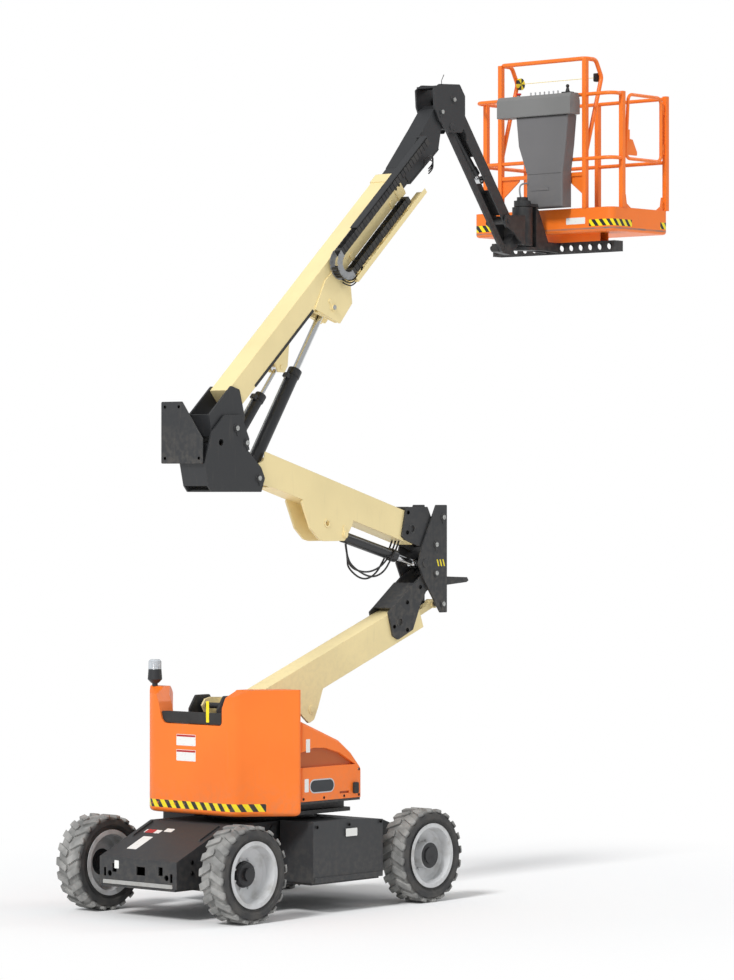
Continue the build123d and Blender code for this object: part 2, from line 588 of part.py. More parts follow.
def main_boom():
    top = BOOM_BOTTOM + BOOM_DEPTH
    boom = box_tube(150, BOOM_LENGTH, BOOM_BOTTOM, top, BOOM_HALF, ARM_WALL)
    long_edges = boom.edges().filter_by(Axis.X).filter_by(lambda e: abs(e.center().Y) > BOOM_HALF - 1)
    boom = fillet(long_edges, 7)
    boom += block(150, 162, 8 - BOOM_HALF, BOOM_HALF - 8, BOOM_BOTTOM + 4, top - 4)
    pad = block(BOOM_LENGTH - 90, BOOM_LENGTH, 2 - BOOM_HALF, BOOM_HALF - 2, BOOM_BOTTOM + 2, top - 2)
    slip = FLY_HALF + SEAT_GAP
    middle = BOOM_BOTTOM + BOOM_DEPTH / 2
    rise = FLY_DEPTH / 2 + SEAT_GAP
    boom += pad - block(BOOM_LENGTH - 91, BOOM_LENGTH + 1, -slip, slip, middle - rise, middle + rise)
    collar = block(BOOM_LENGTH - 110, BOOM_LENGTH - 10, -BOOM_HALF - 6, BOOM_HALF + 6, BOOM_BOTTOM - 6, top + 6)
    boom += collar - block(BOOM_LENGTH - 120, BOOM_LENGTH, 1 - BOOM_HALF, BOOM_HALF - 1, BOOM_BOTTOM + 1, top - 1)
    boom = tilted(boom, BOOM_PIVOT, BOOM_ANGLE)
    lug = [(520, 4590), (790, 4510), (930, 4670), (905, 4850), (810, 4960), (480, 4660)]
    lugs = plates(lug, 50, 18, radius=14)
    cheek = [(620, 4840), (500, 4610), (790, 4505), (935, 4670), (905, 4900), (870, 5040)]
    lugs += plates(cheek, BOOM_HALF - 1, 9, radius=14)
    web = [(540, 4588), (780, 4517), (784, 4527), (544, 4598)]
    lugs += plate(web, -BOOM_HALF - 2, BOOM_HALF + 2) - plate(web, -69, 69)
    small = [(70, 4220), (130, 4110), (200, 4110), (235, 4160), (260, 4400)]
    lugs += plates(small, 38, 14, radius=10)
    inside = block(0, 3000, 4 - BOOM_HALF, BOOM_HALF - 4, BOOM_BOTTOM + ARM_WALL / 2, BOOM_BOTTOM + 400)
    boom += lugs - tilted(inside, BOOM_PIVOT, BOOM_ANGLE)
    eye_u = boom_level(MAIN_CYLINDER_EYE)[0]
    pocket = block(eye_u - 110, eye_u + 110, -48, 48, BOOM_BOTTOM - 1, BOOM_BOTTOM + ARM_WALL + 1)
    boom -= tilted(pocket, BOOM_PIVOT, BOOM_ANGLE)
    for side in (-1, 1):
        boom += rod_y(MAIN_CYLINDER_EYE, PIN_RADIUS, *sorted((side * 49, side * (BOOM_HALF + 22))))
        boom += rod_y(LEVEL_CYLINDER_EYE, PIN_RADIUS - 4, *sorted((side * 37, side * 58)))
        keeper = block(-12, 74, -3, 3, -14, 14) + rod_y((0, 0), PIN_RADIUS + 10, -3, 3)
        seat = Pos(MAIN_CYLINDER_EYE[0], side * (BOOM_HALF + 11), MAIN_CYLINDER_EYE[1])
        boom += seat * Rot(0, 230, 0) * keeper
    return boom


def boom_rear_bracket():
    outline = [
        (-230, 120), (-140, 262), (190, 262), (240, 180), (140, -20), (60, -60), (-60, -60), (-150, 0),
    ]
    inner = BOOM_HALF + 0.3
    pair = plates(outline, inner, BRACKET_WALL, radius=15, holes=[(0, 0, PIN_RADIUS + PIN_GAP)])
    back = [(-230, 120), (-140, 262), (-128, 256), (-218, 114)]
    pair += plate(back, -inner - BRACKET_WALL, inner + BRACKET_WALL)
    return tilted(pair, BOOM_PIVOT, BOOM_ANGLE)


TRACK_Y0 = BOOM_HALF + 12
TRACK_WIDTH = 90
TRACK_LOW = 50
TRACK_HIGH = 250
TRACK_BEND_U = 1780
TRACK_PITCH = 44


def track_tray():
    y0 = -TRACK_Y0 - TRACK_WIDTH - 14
    tray = block(TRACK_BEND_U - 20, 2880, y0, -BOOM_HALF - 8, -25, -19)
    tray += block(TRACK_BEND_U - 20, 2880, y0, y0 + 6, -25, 14)
    for u in (TRACK_BEND_U + 130, 2560):
        tray += block(u, u + 44, -BOOM_HALF - 8 - SEAT_GAP, -BOOM_HALF - SEAT_GAP, -25, BOOM_BOTTOM + 60)
    for u in (TRACK_BEND_U + 40, TRACK_BEND_U + 440, TRACK_BEND_U + 840):
        tray += block(u, u + 40, y0 + 20, -TRACK_Y0 - 10, -20, TRACK_LOW - 28 - SEAT_GAP)
    return tilted(tray, BOOM_PIVOT, BOOM_ANGLE)


def track_run(u0, u1, w):
    """A straight length of the link chain: side plates pitch by pitch, joined by cross bars."""
    y1 = -TRACK_Y0 - 9 - SEAT_GAP
    y0 = -TRACK_Y0 - TRACK_WIDTH + 9 + SEAT_GAP
    core = block(u0, u1, y0 + 4, y0 + 8, w - 18, w + 18) + block(u0, u1, y1 - 8, y1 - 4, w - 18, w + 18)
    count = int((u1 - u0) / TRACK_PITCH)
    step = (u1 - u0) / count
    for k in range(count):
        u = u0 + k * step
        core += block(u, u + step - 6, y0, y0 + 8, w - 28, w + 28)
        core += block(u, u + step - 6, y1 - 8, y1, w - 28, w + 28)
        core += block(u + 14, u + 24, y0 + 4, y1 - 4, w - 22, w - 12)
    core += block(u1 - 30, u1, y0, y1, w - 28, w + 28) + block(u0, u0 + 30, y0, y1, w - 28, w + 28)
    return tilted(core, BOOM_PIVOT, BOOM_ANGLE)


def track_bend():
    """The bent links of the chain, fanned round the end of the loop."""
    centre = (TRACK_LOW + TRACK_HIGH) / 2
    middle = (TRACK_HIGH - TRACK_LOW) / 2
    near, far = -TRACK_Y0 - TRACK_WIDTH + 1, -TRACK_Y0 - 5
    bend = None
    for y0 in (near, far - 4):
        ring = rod_y((TRACK_BEND_U, centre), middle + 30, y0, y0 + 4)
        ring -= rod_y((TRACK_BEND_U, centre), middle - 30, y0 - 1, y0 + 5)
        ring -= block(TRACK_BEND_U, TRACK_BEND_U + 300, y0 - 1, y0 + 5, centre - 300, centre + 300)
        bend = ring if bend is None else bend + ring
    seat = Pos(TRACK_BEND_U, (near + far) / 2, centre)
    for k in range(4):
        rib = Pos(middle + 22, 0, 0) * Box(10, far - near, 18) + Pos(middle - 22, 0, 0) * Box(8, far - near, 12)
        bend += seat * Rot(0, -(159 + 14 * k), 0) * rib
    for k in range(8):
        slot = Pos(middle + 30, 0, 0) * Box(26, far - near + 20, 5) + Pos(middle - 30, 0, 0) * Box(14, far - near + 20, 5)
        bend -= seat * Rot(0, -(103 + 22 * k), 0) * slot
    return tilted(bend, BOOM_PIVOT, BOOM_ANGLE)


def fly_boom():
    w0 = BOOM_BOTTOM + (BOOM_DEPTH - FLY_DEPTH) / 2
    w1 = w0 + FLY_DEPTH
    pivot = boom_level(MOUNT_PIVOT)
    fly = box_tube(BOOM_LENGTH - 1700, 2920, w0, w1, FLY_HALF, ARM_WALL)
    nose = [
        (2880, 60), (3340, 44), (3505, 165), (pivot[0] + 46, pivot[1] - 30), (pivot[0] + 40, pivot[1] + 46),
        (pivot[0] - 40, pivot[1] + 66), (3300, 290), (2880, 235),
    ]
    nose_solid = plate(nose, -JIB_HALF, JIB_HALF, radius=12)
    hollow = [
        (2870, 60 + ARM_WALL), (3335, 44 + ARM_WALL), (3480, 165), (3510, 240), (3500, pivot[1] + 46),
        (3300, 282), (2870, 225),
    ]
    nose_solid -= plate(hollow, ARM_WALL - JIB_HALF, JIB_HALF - ARM_WALL)
    for side in (-1, 1):
        y0, y1 = sorted((side * (JIB_HALF - 1), side * (JIB_HALF + 4)))
        nose_solid += rod_y(pivot, 58, y0, y1)
        rib = plate([(2895, 66), (3350, 48), (3350, 58), (2895, 76)], y0, y1)
        nose_solid += rib + plate([(2895, 222), (3300, 278), (3300, 288), (2895, 232)], y0, y1)
    nose_solid -= rod_y(pivot, PIN_RADIUS + PIN_GAP, -200, 200)
    y0 = -TRACK_Y0 - TRACK_WIDTH + 12
    carrier = block(2050, 3210, y0, -TRACK_Y0 - 8, TRACK_HIGH + 34, TRACK_HIGH + 42)
    carrier += block(3195, 3210, y0, -JIB_HALF + 2, TRACK_HIGH - 28, TRACK_HIGH + 42)
    return tilted(fly + nose_solid + carrier, BOOM_PIVOT, BOOM_ANGLE)


def jib_mount():
    outline = [
        (2000, 6190), (1945, 6300), (1935, 6440), (2010, 6485), (2262, 6500), (2330, 6410), (2330, 6180),
        (2290, 6110), (2120, 6100),
    ]
    inner = JIB_HALF + SIDE_GAP + 2
    edge = inner + UPRIGHT_WALL
    mount = plates(outline, inner, UPRIGHT_WALL, radius=16)
    mount += block(1960, 2080, -edge, edge, 6452, 6468)
    link = offset_point(JIB_PIVOT, JIB_LINK_DROP)
    for point in (MOUNT_PIVOT, link):
        mount += rod_y(point, PIN_RADIUS, -edge - 6, edge + 6)
    mount += rod_y(JIB_CYLINDER_BASE, 18, -36, edge + 6)
    for side in (-1, 1):
        mount += rod_y(JIB_PIVOT, PIN_RADIUS, *sorted((side * 64, side * (edge + 6))))
        for point, turn in ((MOUNT_PIVOT, 120), (JIB_PIVOT, 200), (link, 30)):
            keeper = block(-10, 46, -3, 3, -11, 11) + rod_y((0, 0), PIN_RADIUS + 8, -3, 3)
            mount += Pos(point[0], side * (edge + 2), point[1]) * Rot(0, turn, 0) * keeper
    return mount


# Jib
def jib_arm():
    low, high = -40, 62
    outline = [
        (-40, low), (50, low), (100, -18), (320, -18), (360, low), (JIB_LENGTH + 40, low),
        (JIB_LENGTH + 40, high), (-40, high),
    ]
    holes = [(0, 0, PIN_RADIUS + PIN_GAP), (JIB_LENGTH, 0, PIN_RADIUS + PIN_GAP)]
    arm = plates(outline, JIB_HALF - JIB_WALL, JIB_WALL, radius=12, holes=holes)
    for u0, u1 in ((30, JIB_CYLINDER_REACH - 180), (JIB_CYLINDER_REACH + 150, JIB_LENGTH - 30)):
        arm += block(u0, u1, 2 - JIB_HALF, JIB_HALF - 2, high - 9, high - 1)
    reach = (JIB_CYLINDER_REACH, -20)
    for side, inner in ((-1, 66), (1, 42)):
        arm += rod_y(reach, 18, *sorted((side * inner, side * (JIB_HALF - 5))))
        arm += rod_y(reach, 30, *sorted((side * (JIB_HALF - 1), side * (JIB_HALF + 5))))
    return tilted(arm, JIB_PIVOT, JIB_ANGLE)


def jib_link():
    y0, y1 = -60, -38
    link = block(0, JIB_LENGTH, y0, y1, -28, 28)
    for u in (0, JIB_LENGTH):
        link += rod_y((u, 0), 34, y0 - 4, y1)
        link -= rod_y((u, 0), PIN_RADIUS + PIN_GAP, y0 - 5, y1 + 1)
    return tilted(link, offset_point(JIB_PIVOT, JIB_LINK_DROP), JIB_ANGLE)


def platform_support():
    arm_end = polar(JIB_PIVOT, JIB_LENGTH, JIB_ANGLE)
    link_end = offset_point(arm_end, JIB_LINK_DROP)
    outline = [
        (arm_end[0] - 60, arm_end[1] - 20), (arm_end[0] - 40, arm_end[1] + 50), (3110, arm_end[1] + 60),
        (3110, 5220), (arm_end[0] + 30, arm_end[1] - 70),
    ]
    inner = JIB_HALF + SIDE_GAP + 2
    edge = inner + UPRIGHT_WALL
    support = plates(outline, inner, UPRIGHT_WALL, radius=14)
    support += block(3060, 3110, -edge, edge, 5240, arm_end[1] + 60)
    support += block(3100, 3180, -70, 70, 5250, 5440)
    support += rod_z(ROTATOR_X, 0, 85, 5232, 5556)
    support -= rod_z(ROTATOR_X, 0, 40 + PIN_GAP, 5200, 5600)
    tongue = [
        (link_end[0] - 36, 5170), (3000, 5150), (3110, 5240), (3110, 5330), (3060, 5330), (2960, 5240),
        (link_end[0] - 30, 5236),
    ]
    support += plate(tongue, -34, 34)
    support += rod_y(arm_end, PIN_RADIUS, -edge - 6, edge + 6)
    support += rod_y(link_end, PIN_RADIUS, -60, 60)
    return support


# Platform
def platform_mount():
    mount = rod_z(ROTATOR_X, 0, 40, 5200, 5590)
    mount += rod_z(ROTATOR_X, 0, 70, 5562, 5610)
    mount += rod_z(ROTATOR_X, 0, 46, 5609, 5640)
    mount += rod_z(ROTATOR_X, 0, 70, 5196, 5226)
    mount += block(ROTATOR_X, 3320, -70, 70, 5562, 5586)
    mount += block(ROTATOR_X, 3320, -70, 70, 5200, 5226)
    mount += block(3300, 3320, -70, 70, 5200, 5586)
    rib = [(3310, 5200), (3400, 5200), (3620, 5190), (3620, 5275), (3460, 5276), (3330, 5540), (3310, 5540)]
    for y in (-70, 54):
        mount += plate(rib, y, y + 16)
    for x in (3610, 3720):
        wall = block(x, x + 8, -650, 650, 5188, 5276)
        for k in range(13):
            wall -= Pos(x + 4, -600 + 100 * k, 5232) * Rot(0, 90, 0) * Cylinder(29, 30)
        mount += wall
    for y in (-650, 642):
        mount += block(3610, 3728, y, y + 8, 5188, 5276)
    return mount + block(3610, 3728, -650, 650, 5268, 5276)


def platform_floor():
    x0, x1 = PLATFORM_X, PLATFORM_X + PLATFORM_DEPTH
    half = PLATFORM_LENGTH / 2
    outer = rounded(block(x0, x1, -half, half, TOE_BOTTOM, TOE_TOP), TOE_CORNER)
    bottom = outer.edges().filter_by(lambda e: abs(e.center().Z - TOE_BOTTOM) < 1)
    outer = fillet(bottom, 24)
    w = TOE_WALL
    inner = rounded(block(x0 + w, x1 - w, -half + w, half - w, PLATFORM_FLOOR, TOE_TOP + 1), TOE_CORNER - w)
    floor = outer - inner
    for x in (3610, 3720):
        floor += block(x, x + 8, -500, 500, 5276 + SEAT_GAP, TOE_BOTTOM + 1)
    for x, out in ((GATE_POST_X + 26, 1), (x1 - 84, -1)):
        flare = [
            (x, TOE_TOP - 1), (x + out * 84, TOE_TOP - 1), (x + out * 26, TOE_TOP + 34), (x + out * 12, TOE_TOP + 110),
            (x, TOE_TOP + 110),
        ]
        floor += plate(flare, 6 - half, 14 - half)
    return floor


def platform_rails():
    x0, x1 = PLATFORM_X + 15, PLATFORM_X + PLATFORM_DEPTH - 15
    half = PLATFORM_LENGTH / 2 - 15
    foot = TOE_TOP + SEAT_GAP
    rails = None
    for z in (RAIL_TOP, RAIL_MID):
        route = [(GATE_POST_X, -half, z), (x0, -half, z), (x0, half, z), (x1, half, z), (x1, -half, z)]
        rail = tube(route, RAIL_RADIUS, 70)
        rails = rail if rails is None else rails + rail
    spots = [
        (x0, -450, HOOP_TOP), (x0, 450, HOOP_TOP), (GATE_POST_X, -half, RAIL_TOP + 20),
        (GATE_POST_X, half, RAIL_TOP), (x1 - 10, -half, RAIL_TOP + 20), (x1, 0, RAIL_TOP), (x1 - 60, half, RAIL_TOP),
    ]
    for x, y, z in spots:
        rails += block(x - POST_HALF, x + POST_HALF, y - POST_HALF, y + POST_HALF, foot, z)
    hoop = [
        (x0, -450, RAIL_MID + 20), (x0 + 220, -450, 6650), (x0 + 140, -450, HOOP_TOP), (x0, -450, HOOP_TOP),
        (x0, 450, HOOP_TOP), (x0 + 140, 450, HOOP_TOP), (x0 + 220, 450, 6650), (x0, 450, RAIL_MID + 20),
    ]
    rails += tube(hoop, RAIL_RADIUS + 2, [60, 60, 50, 50, 60, 60])
    for side in (-1, 1):
        gusset = [(side * 470, 5830), (side * 470, 5650), (side * 440, 5650), (side * 250, 5800), (side * 250, 5830)]
        sheet = Plane.YZ * make_face(Polyline(*gusset, close=True))
        rails += Pos(x0 - 4, 0, 0) * extrude(sheet, amount=8)
    rails += block(x0 - 16, x0 + 16, -450, 450, 5814, 5846)
    for z in (RAIL_MID + 90, RAIL_TOP - 110):
        rails += rod_z(x1 - 45, -half, 10, z - 30, z - SEAT_GAP)
        rails += block(x1 - 45, x1 - 20, -half - 6, 6 - half, z - 26, z - 8)
    return rails


def console():
    side = [(3306, 6322), (3440, 6322), (3440, 6440), (3420, 6500), (3330, 6500), (3306, 6470)]
    w = 4
    inner = [
        (3306 + w, 6322 + w), (3440 - w, 6322 + w), (3440 - w, 6440), (3417, 6500 - w), (3332, 6500 - w),
        (3306 + w, 6468),
    ]
    box = plate(side, -420, 360, radius=8) - plate(inner, w - 420, 360 - w)
    box += rounded(block(3340, 3410, -385, -300, 6498, 6510), 6)
    box += Pos(3375, -342, 6530) * Cone(20, 9, 44) + Pos(3375, -342, 6560) * Sphere(15)
    for k in range(7):
        box += Pos(3362, -250 + 48 * k, 6508) * Cylinder(6, 20) + Pos(3362, -250 + 48 * k, 6522) * Sphere(7)
    box += Pos(3375, 180, 6508) * Cylinder(13, 20) + Pos(3375, 180, 6524) * Cylinder(22, 14)
    for y in (-410, 300):
        box += block(3414, PLATFORM_X - 1 - SEAT_GAP, y, y + 50, 6476, 6490)
    return box


def console_housing():
    base = TOE_TOP + 10
    top = 6322 - SEAT_GAP
    front = [(-376, top), (176, top), (150, 6080), (62, 5840), (62, base), (-318, base), (-318, 5840), (-352, 6080)]
    inside = [(y + 6 if y < -60 else y - 6, z) for y, z in front]
    body = Pos(3330, 0, 0) * extrude(Plane.YZ * make_face(Polyline(*front, close=True)), amount=122)
    body = fillet(body.edges().filter_by(lambda e: abs(e.center().X - 3330) < 1), 16)
    body -= Pos(3338, 0, 0) * extrude(Plane.YZ * make_face(Polyline(*inside, close=True)), amount=102)
    body -= block(3329, 3333, -314, 56, 5832, 5840)
    body += block(3326, 3331, -180, 10, 5700, 5726)
    return body


def gate():
    y = -PLATFORM_LENGTH / 2 + 15
    x0, x1 = GATE_POST_X + 48, PLATFORM_X + PLATFORM_DEPTH - 92
    route = [(x0, y, RAIL_MID), (x0 + 35, y, RAIL_TOP), (x1, y, RAIL_TOP), (x1, y, RAIL_MID)]
    loop = tube(route, RAIL_RADIUS - 2, 55, close=True)
    latch = [(x0 + 6, RAIL_MID + 30), (x0 + 150, RAIL_MID + 30), (x0 + 150, RAIL_MID + 60), (x0 + 90, RAIL_MID + 160),
             (x0 + 12, RAIL_MID + 170)]
    loop += plate(latch, y - 5, y + 5, radius=8)
    loop += rod_z(x0 + 30, y - 9, 9, RAIL_MID + 150, RAIL_MID + 240)
    for z in (RAIL_MID + 90, RAIL_TOP - 110):
        loop += rod_z(x1 + 32, y, 10, z, z + 60)
        loop += block(x1, x1 + 28, y - 6, y + 6, z + 10, z + 50)
    return loop


parts["chassis_frame"] = chassis_frame()
parts["battery_box_left"] = battery_box(1)
parts["battery_box_right"] = battery_box(-1)
parts["slew_ring"] = slew_ring()
parts["steer_knuckle_left"] = steer_knuckle(1)
parts["steer_knuckle_right"] = steer_knuckle(-1)
parts["tie_rod"] = tie_rod()
TYRE = tyre_shape()
RIMS = {-1: rim_shape(False), 1: rim_shape(True)}
for axle, axle_name in ((-1, "steer"), (1, "drive")):
    for side, side_name in ((1, "left"), (-1, "right")):
        parts[f"tyre_{axle_name}_{side_name}"] = wheel_at(TYRE, axle, side)
        parts[f"rim_{axle_name}_{side_name}"] = wheel_at(RIMS[axle], axle, side)
parts["turntable_frame"] = turntable_frame()
parts["counterweight"] = counterweight()
parts["hood_left"] = hood(1)
parts["hood_right"] = hood(-1)
parts["power_unit"] = block(-300, 220, 345, 555, 855, 1060)
parts["beacon"] = beacon()
parts["lower_arm"] = lower_arm()
parts["lower_arm_bracket"] = lower_arm_bracket()
parts["lower_link"] = lower_link()
cylinder_pair("lower_cylinder", LOWER_CYLINDER_BASE, LOWER_CYLINDER_EYE, 48, 28, 800, 340, 50)
parts["mid_upright"] = mid_upright()
parts["mid_arm"] = mid_arm()
parts["mid_arm_bracket"] = mid_arm_bracket()
cylinder_pair("mid_cylinder", MID_CYLINDER_BASE, MID_CYLINDER_EYE, 45, 26, 720, 400, 36)
parts["upper_upright"] = upper_upright()
parts["valve_guard"] = valve_guard()
parts["main_boom"] = main_boom()
parts["boom_rear_bracket"] = boom_rear_bracket()
cylinder_pair("main_cylinder", MID_TOP, MAIN_CYLINDER_EYE, 50, 28, 1010, 500, 44)
cylinder_pair("level_cylinder", LEVEL_CYLINDER_BASE, LEVEL_CYLINDER_EYE, 40, 16, 480, 280, 32)
parts["track_tray"] = track_tray()
parts["track_lower"] = track_run(TRACK_BEND_U, 2700, TRACK_LOW)
parts["track_bend"] = track_bend()
parts["track_upper"] = track_run(TRACK_BEND_U, 3195 - SEAT_GAP, TRACK_HIGH)
parts["fly_boom"] = fly_boom()
parts["jib_mount"] = jib_mount()
parts["jib_arm"] = jib_arm()
parts["jib_link"] = jib_link()
JIB_EYE = offset_point(polar(JIB_PIVOT, JIB_CYLINDER_REACH, JIB_ANGLE), polar((0, 0), -20, JIB_ANGLE + 90))
cylinder_pair("jib_cylinder", JIB_CYLINDER_BASE, JIB_EYE, 30, 17, 495, 73, 30, pin=18)
parts["platform_support"] = platform_support()
parts["platform_mount"] = platform_mount()
parts["platform_floor"] = platform_floor()
parts["platform_rails"] = platform_rails()
parts["console"] = console()
parts["console_housing"] = console_housing()
parts["gate"] = gate()

# The frame's origin is on the ground under the middle of the machine's box
boxes = [solid.bounding_box() for solid in parts.values()]
middle_x = (min(box.min.X for box in boxes) + max(box.max.X for box in boxes)) / 2
middle_y = (min(box.min.Y for box in boxes) + max(box.max.Y for box in boxes)) / 2
print("shift", middle_x, middle_y)
os.makedirs("parts", exist_ok=True)
for node, solid in parts.items():
    export_step(Pos(-middle_x, -middle_y, 0) * solid, f"parts/{node}.step")
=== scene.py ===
import math

import bmesh
import bpy
from mathutils import Matrix, Vector


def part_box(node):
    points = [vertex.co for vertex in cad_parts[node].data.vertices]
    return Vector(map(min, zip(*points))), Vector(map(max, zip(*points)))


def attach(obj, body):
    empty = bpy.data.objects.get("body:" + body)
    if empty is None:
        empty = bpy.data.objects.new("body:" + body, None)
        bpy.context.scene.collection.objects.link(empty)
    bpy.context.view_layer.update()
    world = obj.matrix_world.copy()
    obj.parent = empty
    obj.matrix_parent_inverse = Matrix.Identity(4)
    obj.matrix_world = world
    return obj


# Frame and camera
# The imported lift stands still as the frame. Places are metres from the slewing axis, which is
# where the slew ring's own box puts it. The camera stands level, far off the front right corner.
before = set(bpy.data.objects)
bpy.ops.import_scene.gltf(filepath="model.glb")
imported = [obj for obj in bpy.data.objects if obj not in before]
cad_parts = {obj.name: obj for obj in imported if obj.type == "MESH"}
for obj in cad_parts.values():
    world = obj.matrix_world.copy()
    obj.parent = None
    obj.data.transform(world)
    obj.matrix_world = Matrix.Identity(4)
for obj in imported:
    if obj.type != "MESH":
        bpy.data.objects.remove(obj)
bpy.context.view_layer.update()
ring_low, ring_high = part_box("slew_ring")
SLEW_X = (ring_low[0] + ring_high[0]) / 2


def at(x, y, z):
    return Vector((SLEW_X + x, y, z))


CAMERA_HEIGHT = 3.2
CAMERA_AZIMUTH = math.radians(-48.9)
camera = bpy.data.objects.new("photo_camera", bpy.data.cameras.new("photo_camera"))
camera.location = at(-21.769, -20.063, CAMERA_HEIGHT)
camera.rotation_euler = (math.pi / 2, 0, CAMERA_AZIMUTH)
camera.data.lens = 141.0
camera.data.sensor_width = 36.0
camera.data.clip_end = 300
bpy.context.scene.collection.objects.link(camera)
bpy.context.scene.camera = camera


# Shader maths and finishes
# A Signal is a value on its way through a shader: sums on it add Math nodes. A Finish is one
# material being mixed, and its node() takes any node with its settings, then its socket values.
class Signal:
    def __init__(self, finish, socket):
        self.finish = finish
        self.socket = socket

    def math(self, operation, *others, swapped=False, clamp=False):
        terms = [self, *others]
        if swapped:
            terms.reverse()
        settings = {"operation": operation, "use_clamp": clamp}
        return self.finish.node("ShaderNodeMath", settings, dict(enumerate(terms)))

    def __add__(self, other):
        return self.math("ADD", other)

    def __radd__(self, other):
        return self.math("ADD", other, swapped=True)

    def __sub__(self, other):
        return self.math("SUBTRACT", other)

    def __rsub__(self, other):
        return self.math("SUBTRACT", other, swapped=True)

    def __mul__(self, other):
        return self.math("MULTIPLY", other)

    def __rmul__(self, other):
        return self.math("MULTIPLY", other, swapped=True)

    def __truediv__(self, other):
        return self.math("DIVIDE", other)

    def above(self, limit):
        return self.math("GREATER_THAN", limit)

    def below(self, limit):
        return self.math("LESS_THAN", limit)

    def step(self, low, high):
        settings = {"interpolation_type": "SMOOTHSTEP"}
        return self.finish.node("ShaderNodeMapRange", settings, {0: self, 1: low, 2: high})


class Finish:
    def __init__(self, name):
        self.material = bpy.data.materials.new(name)
        self.material.use_nodes = True
        self.tree = self.material.node_tree
        self.tree.nodes.clear()
        self.output = self.tree.nodes.new("ShaderNodeOutputMaterial")
        self.place = self.node("ShaderNodeTexCoord", {}, {}, out="Object")
        split = self.node("ShaderNodeSeparateXYZ", {}, {0: self.place}, out=0).socket.node
        self.x, self.y, self.z = (Signal(self, split.outputs[k]) for k in range(3))

    def node(self, kind, settings, sockets, out=0):
        made = self.tree.nodes.new(kind)
        for name, value in settings.items():
            if name == "stops":
                ramp = made.color_ramp
                while len(ramp.elements) < len(value):
                    ramp.elements.new(0.5)
                for element, (position, colour) in zip(ramp.elements, value):
                    element.position = position
                    element.color = (*colour, 1)
            else:
                setattr(made, name, value)
        for key, value in sockets.items():
            if isinstance(value, Signal):
                self.tree.links.new(value.socket, made.inputs[key])
            else:
                made.inputs[key].default_value = value
        return Signal(self, made.outputs[out])

    def noise(self, scale, detail=2.0, place=None, roughness=0.5):
        sockets = {"Vector": place or self.place, "Scale": scale, "Detail": detail, "Roughness": roughness}
        return self.node("ShaderNodeTexNoise", {}, sockets, out="Fac")

    def stretched(self, scale_xyz, origin=(0, 0, 0)):
        sockets = {"Vector": self.place, "Location": origin, "Scale": scale_xyz}
        return self.node("ShaderNodeMapping", {}, sockets)

    def mix(self, factor, first, second):
        def colour(value):
            return value if isinstance(value, Signal) else (*value, 1)

        settings = {"data_type": "RGBA"}
        return self.node("ShaderNodeMix", settings, {0: factor, 6: colour(first), 7: colour(second)}, out=2)

    def soft_edge(self, radius):
        return self.node("ShaderNodeBevel", {"samples": 4}, {"Radius": radius})

    def edge_mask(self, rounded_normal):
        true_normal = self.node("ShaderNodeNewGeometry", {}, {}, out="Normal")
        settings = {"operation": "DOT_PRODUCT"}
        dot = self.node("ShaderNodeVectorMath", settings, {0: rounded_normal, 1: true_normal}, out="Value")
        return (1 - dot).step(0.012, 0.12)

    def bump(self, height, distance, strength=1.0, normal=None):
        sockets = {"Height": height, "Distance": distance, "Strength": strength}
        if normal is not None:
            sockets["Normal"] = normal
        return self.node("ShaderNodeBump", {}, sockets)

    def surface(self, colour, roughness, normal=None, metallic=0.0):
        sockets = {"Base Color": colour, "Roughness": roughness, "Metallic": metallic}
        if not isinstance(colour, Signal):
            sockets["Base Color"] = (*colour, 1)
        if normal is not None:
            sockets["Normal"] = normal
        shader = self.node("ShaderNodeBsdfPrincipled", {}, sockets)
        self.tree.links.new(shader.socket, self.output.inputs["Surface"])
        return self


def shade(colour, factor):
    return tuple(min(1.0, c * factor) for c in colour)


# Studio
# A plain pale floor that fades to white away from the lift, a white sky for the camera, and one
# soft sun from behind the camera with a weaker one to fill the shaded side.
STUDIO_FLOOR_SIZE = 60
studio_floor_mesh = bmesh.new()
bmesh.ops.create_grid(studio_floor_mesh, x_segments=4, y_segments=4, size=STUDIO_FLOOR_SIZE)
studio_floor = bpy.data.objects.new("studio_floor", bpy.data.meshes.new("studio_floor"))
studio_floor_mesh.to_mesh(studio_floor.data)
studio_floor_mesh.free()
studio_floor.location = (0, 0, -0.0015)
bpy.context.scene.collection.objects.link(studio_floor)

floor_paint = Finish("studio_floor_paint")
distance = floor_paint.node("ShaderNodeVectorMath", {"operation": "LENGTH"}, {0: floor_paint.place}, out="Value")
seen = floor_paint.node("ShaderNodeLightPath", {}, {}, out="Is Camera Ray")
matt = floor_paint.node("ShaderNodeBsdfDiffuse", {}, {"Color": (0.93, 0.93, 0.93, 1)})
lit_white = floor_paint.node("ShaderNodeEmission", {}, {"Color": (1, 1, 1, 1), "Strength": 1.0})
fade = floor_paint.node(
    "ShaderNodeMixShader", {}, {0: seen * distance.step(2.4, 5.5), 1: matt, 2: lit_white}
)
floor_paint.tree.links.new(fade.socket, floor_paint.output.inputs["Surface"])
studio_floor.data.materials.append(floor_paint.material)

